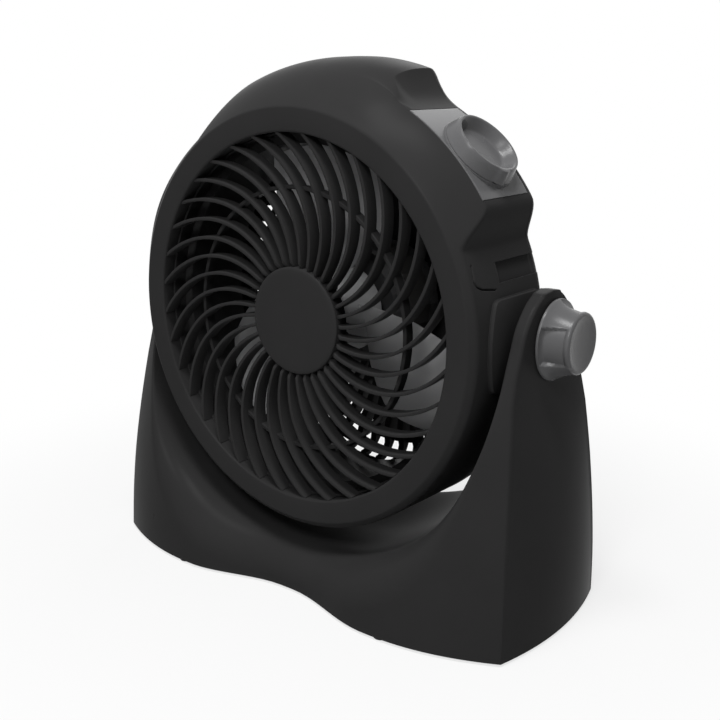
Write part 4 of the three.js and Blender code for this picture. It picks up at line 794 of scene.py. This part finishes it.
ARM_IN, ARM_OUT, ARM_TOP = 152.6, 161.5, 32.2
FLOOR_Z = -192.2
SPREAD_TOP_Z = -20                   # the base starts to spread below this
SPREAD_DROP = 143 / 1.9              # fall of the inner line that brings the outer to the floor
FLARE, FLARE_TOP_Z, FLARE_DROP = 11.1, -30, 164
BOW_ARM, BOW_BASE = 0.5, 8.4         # how far the sides bulge
CRADLE_TOP, CRADLE_POWER = -18, 2.2
CRADLE_DEEP, CRADLE_DEEP_REAR = 145, 139.5
LOBE, LOBE_MIDDLE = 22.4, 6          # swell of the front at a lobe and at the middle
ARM_STEPS, BOWL_STEPS = 60, 90
STAND_Z = np.array([-194, -160, -130, -100, -84, -69, -54, -39, -24, -9, 0, 11.6, 17, 22, 25, 29,
                    31.4, ARM_TOP])
TO_FRONT = np.array([70.9, 68.4, 65.2, 60.9, 58.3, 55.8, 53.2, 50.4, 47.2, 43.4, 40.4, 35.6, 31.6,
                     27, 23.6, 17, 10.9, 3.5])
TO_REAR = np.array([54.8, 54.7, 53.4, 51.1, 49.8, 48.1, 46.5, 44.2, 38.4, 32, 28.2, 23.5, 20.5,
                    16.9, 13.8, 8, 3, -3.5])


def tabled(x, xs, ys):
    """Smooth curve through a table: a cubic between each two entries, whose slope at an
    entry is that of the chord through its neighbours."""
    slope = np.gradient(ys, xs)
    k = np.clip(np.searchsorted(xs, x, side="right") - 1, 0, len(xs) - 2)
    wide = xs[k + 1] - xs[k]
    t = np.clip((x - xs[k]) / wide, 0, 1)
    rise, bend = ys[k + 1] - ys[k], t * t * (3 - 2 * t)
    return ys[k] + rise * bend + wide * t * (1 - t) * (slope[k] * (1 - t) - slope[k + 1] * t)


def stand_flare(z):
    """Share of the base's spread at a height: none on the arms, easing to all of it."""
    return 1 - (1 - np.clip((FLARE_TOP_Z - z) / FLARE_DROP, 0, 1)) ** 2


def stand_corner(z):
    """Half width at the front corners."""
    return ARM_OUT + FLARE * stand_flare(z)


def stand_reach(z, u, front):
    """Depth from the pivot's plane to the front or rear face, at a height and at a share
    u of the half width: the corner's own reach plus a lobe that fades out up the arms."""
    corner = tabled(z, STAND_Z, TO_FRONT if front else TO_REAR)
    from_middle = LOBE_MIDDLE + (LOBE - LOBE_MIDDLE) * ease(u, 0.03, 0.47)
    lobe = np.where(u > 0.5, LOBE * (1 - (2 * u - 1) ** 2), from_middle)
    return corner + lobe * ease(-z, -6, 48)


def cradle_line():
    """Inner line of the stand from the right arm's top round to the left: upright, then
    the lower half of a superellipse."""
    top = ARM_TOP * np.sin(np.linspace(math.pi / 2, 0, ARM_STEPS))
    down = np.linspace(0, CRADLE_TOP, 8)[1:-1]
    t = np.linspace(0, math.pi, BOWL_STEPS)
    x = ARM_IN * np.sign(np.cos(t)) * np.abs(np.cos(t)) ** (2 / CRADLE_POWER)
    z = CRADLE_TOP - CRADLE_DEEP * np.abs(np.sin(t)) ** (2 / CRADLE_POWER)
    arm_z = np.concatenate([top, down])
    x = np.concatenate([np.full(len(arm_z), ARM_IN), x, np.full(len(arm_z), -ARM_IN)])
    z = np.concatenate([arm_z, z, arm_z[::-1]])
    return x, z


def outer_line(x, z):
    """Point on the outer silhouette that faces each point of the inner line: level with
    it on the arms, then swinging down to the base's corner and along the floor."""
    drop = np.clip((SPREAD_TOP_Z - z) / SPREAD_DROP, 0, 1) ** 0.9
    far_z = np.where(z > SPREAD_TOP_Z, z, SPREAD_TOP_Z + (FLOOR_Z - SPREAD_TOP_Z) * drop)
    on_floor = far_z <= FLOOR_Z + 1e-6
    inward = np.abs(x) / np.abs(x[on_floor]).max()
    reach_x = np.where(on_floor, stand_corner(FLOOR_Z) * inward, stand_corner(far_z))
    return np.sign(x) * reach_x, far_z, on_floor


in_x, in_z = cradle_line()
shallower = np.where(in_z < CRADLE_TOP, CRADLE_DEEP_REAR / CRADLE_DEEP, 1)
in_z_rear = CRADLE_TOP + (in_z - CRADLE_TOP) * shallower
out_x, out_z, on_floor = outer_line(in_x, in_z)
fillet = 2.5 + 24 * ease(-in_z, 60, 150)
rear_fillet = 2.5 + 6 * ease(-in_z, 60, 150)
right_round = 5.5 * ease(out_z, -188, -120) - 3 * ease(out_z, -90, -20)
edge_round = 0.3 + np.where(out_x > 0, right_round, 0.7 * ease(out_z, -150, -20))


def stand_face(front):
    """Front or back face from the outer line in to the saddle, with the round between
    them: columns run from the outer edge to the saddle's level."""
    inner_z = in_z if front else in_z_rear
    span = np.maximum(np.hypot(out_x - in_x, out_z - inner_z), 1e-6)
    round_size = fillet if front else rear_fillet
    round_share = np.minimum(round_size / span, 0.8)
    soft = edge_round if front else 0.4 * edge_round
    edge_share = soft / span
    columns = []
    for a in np.radians(np.linspace(0, 75, 6)):
        columns.append((1 - edge_share * (1 - math.cos(a)), soft * (1 - math.sin(a))))
    for t in np.linspace(0, 1, 17):
        share = 1 - edge_share - t * (1 - edge_share - round_share)
        columns.append((share, np.zeros_like(share)))
    for a in np.radians(np.linspace(0, 90, 10)[1:]):
        share = round_share * (1 - math.sin(a))
        columns.append((share, round_size * (1 - math.cos(a))))
    grid = []
    for share, sink in columns:
        x = in_x + (out_x - in_x) * share
        z = inner_z + (out_z - inner_z) * share
        u = np.clip(np.abs(x) / stand_corner(z), 0, 1)
        half = (stand_reach(z, u, True) + stand_reach(z, u, False)) / 2
        reach = stand_reach(z, u, front) - np.minimum(sink, half * 0.5)
        grid.append(np.stack([x, -reach if front else reach, z], -1))
    return np.stack(grid, 1)


front_face = stand_face(True)
back_face = stand_face(False)


def bridge(start, end, share):
    """Columns of points between two edges, at the given shares of the way."""
    return start * (1 - share)[None, :, None] + end * share[None, :, None]


saddle_share = np.linspace(0, 1, 22)[1:-1]
saddle = bridge(front_face[:, -1:], back_face[:, -1:], saddle_share)
saddle[:, :, 2] = bridge(front_face[:, -1:], back_face[:, -1:], ease(saddle_share, 0.35, 1))[:, :, 2]
side_v = np.linspace(1, -1, 19)[1:-1]
side_wall = bridge(back_face[:, :1], front_face[:, :1], (1 - side_v) / 2)
near_corner = np.where(on_floor, np.clip((np.abs(out_x) - 150) / 22, 0, 1) ** 2, 1)
bow = (BOW_ARM + BOW_BASE * stand_flare(out_z)) * near_corner
side_wall[:, :, 0] += np.sign(out_x)[:, None] * bow[:, None] * (1 - side_v ** 2)[None, :]
loop = np.concatenate([front_face, saddle, back_face[:, ::-1], side_wall], 1)
poles = [np.repeat(loop[i].mean(0)[None, None], loop.shape[1], 1) for i in (0, -1)]
stand_points = np.concatenate([poles[0], loop, poles[1]], 0)
stand_shell = surface("stand_body", stand_points * 0.001 + PIVOT, wrap_rows=False)
fit(stand_shell, "stand", "body_black", body_black, "stand_shell", "stand_bottom")


# ------------------------------------------------------------------ small parts
# What keeps its CAD shape and only gets a finish: motor, switch, fasteners, washers and
# pads. The motor's laminations are varnished, and its cast bells are made near black as
# painted shade for the dark inside of the head.

steel = moulded("plain_steel", (0.45, 0.45, 0.46), 0.32, 0.5, 0.03)
steel.node_tree.nodes["Principled BSDF"].inputs["Metallic"].default_value = 1
varnished = moulded("varnished_laminations", (0.016, 0.015, 0.014), 0.45, 0.2, 0.3)
# painted shade: the cast parts' near-black colour stands in for the shade deep inside the head
cast = moulded("cast_aluminium_painted_shade_black", (0.03, 0.03, 0.031), 0.5, 0.3, 0.4, 0.0006)
copper = moulded("copper_wire", (0.5, 0.2, 0.07), 0.35, 0.5, 0.5, 0.0004)
copper.node_tree.nodes["Principled BSDF"].inputs["Metallic"].default_value = 1
rubber = moulded("black_rubber", (0.012, 0.012, 0.012), 0.75, 0.3, 0.3, 0.0007)
switch_black = moulded("switch_black", (0.02, 0.02, 0.022), 0.5, 0.4)
nylon = moulded("white_nylon", (0.65, 0.64, 0.6), 0.45, 0.5)
slot_finish = {
    "body_black": body_black, "trim_grey": trim_grey, "blade_grey": blade_grey, "steel": steel,
    "cast_aluminium": cast, "copper_wire": copper, "rubber": rubber, "moulded_dark": switch_black,
    "capacitor_case": switch_black, "terminal_white": nylon,
}
for subpart in frame["record"]["subparts"]:
    mesh = frame["nodes"][subpart["node"]].data
    mesh.materials.clear()
    core = subpart["node"] in ("stator_core", "rotor_core")
    mesh.materials.append(varnished if core else slot_finish[subpart["material_slot"]])
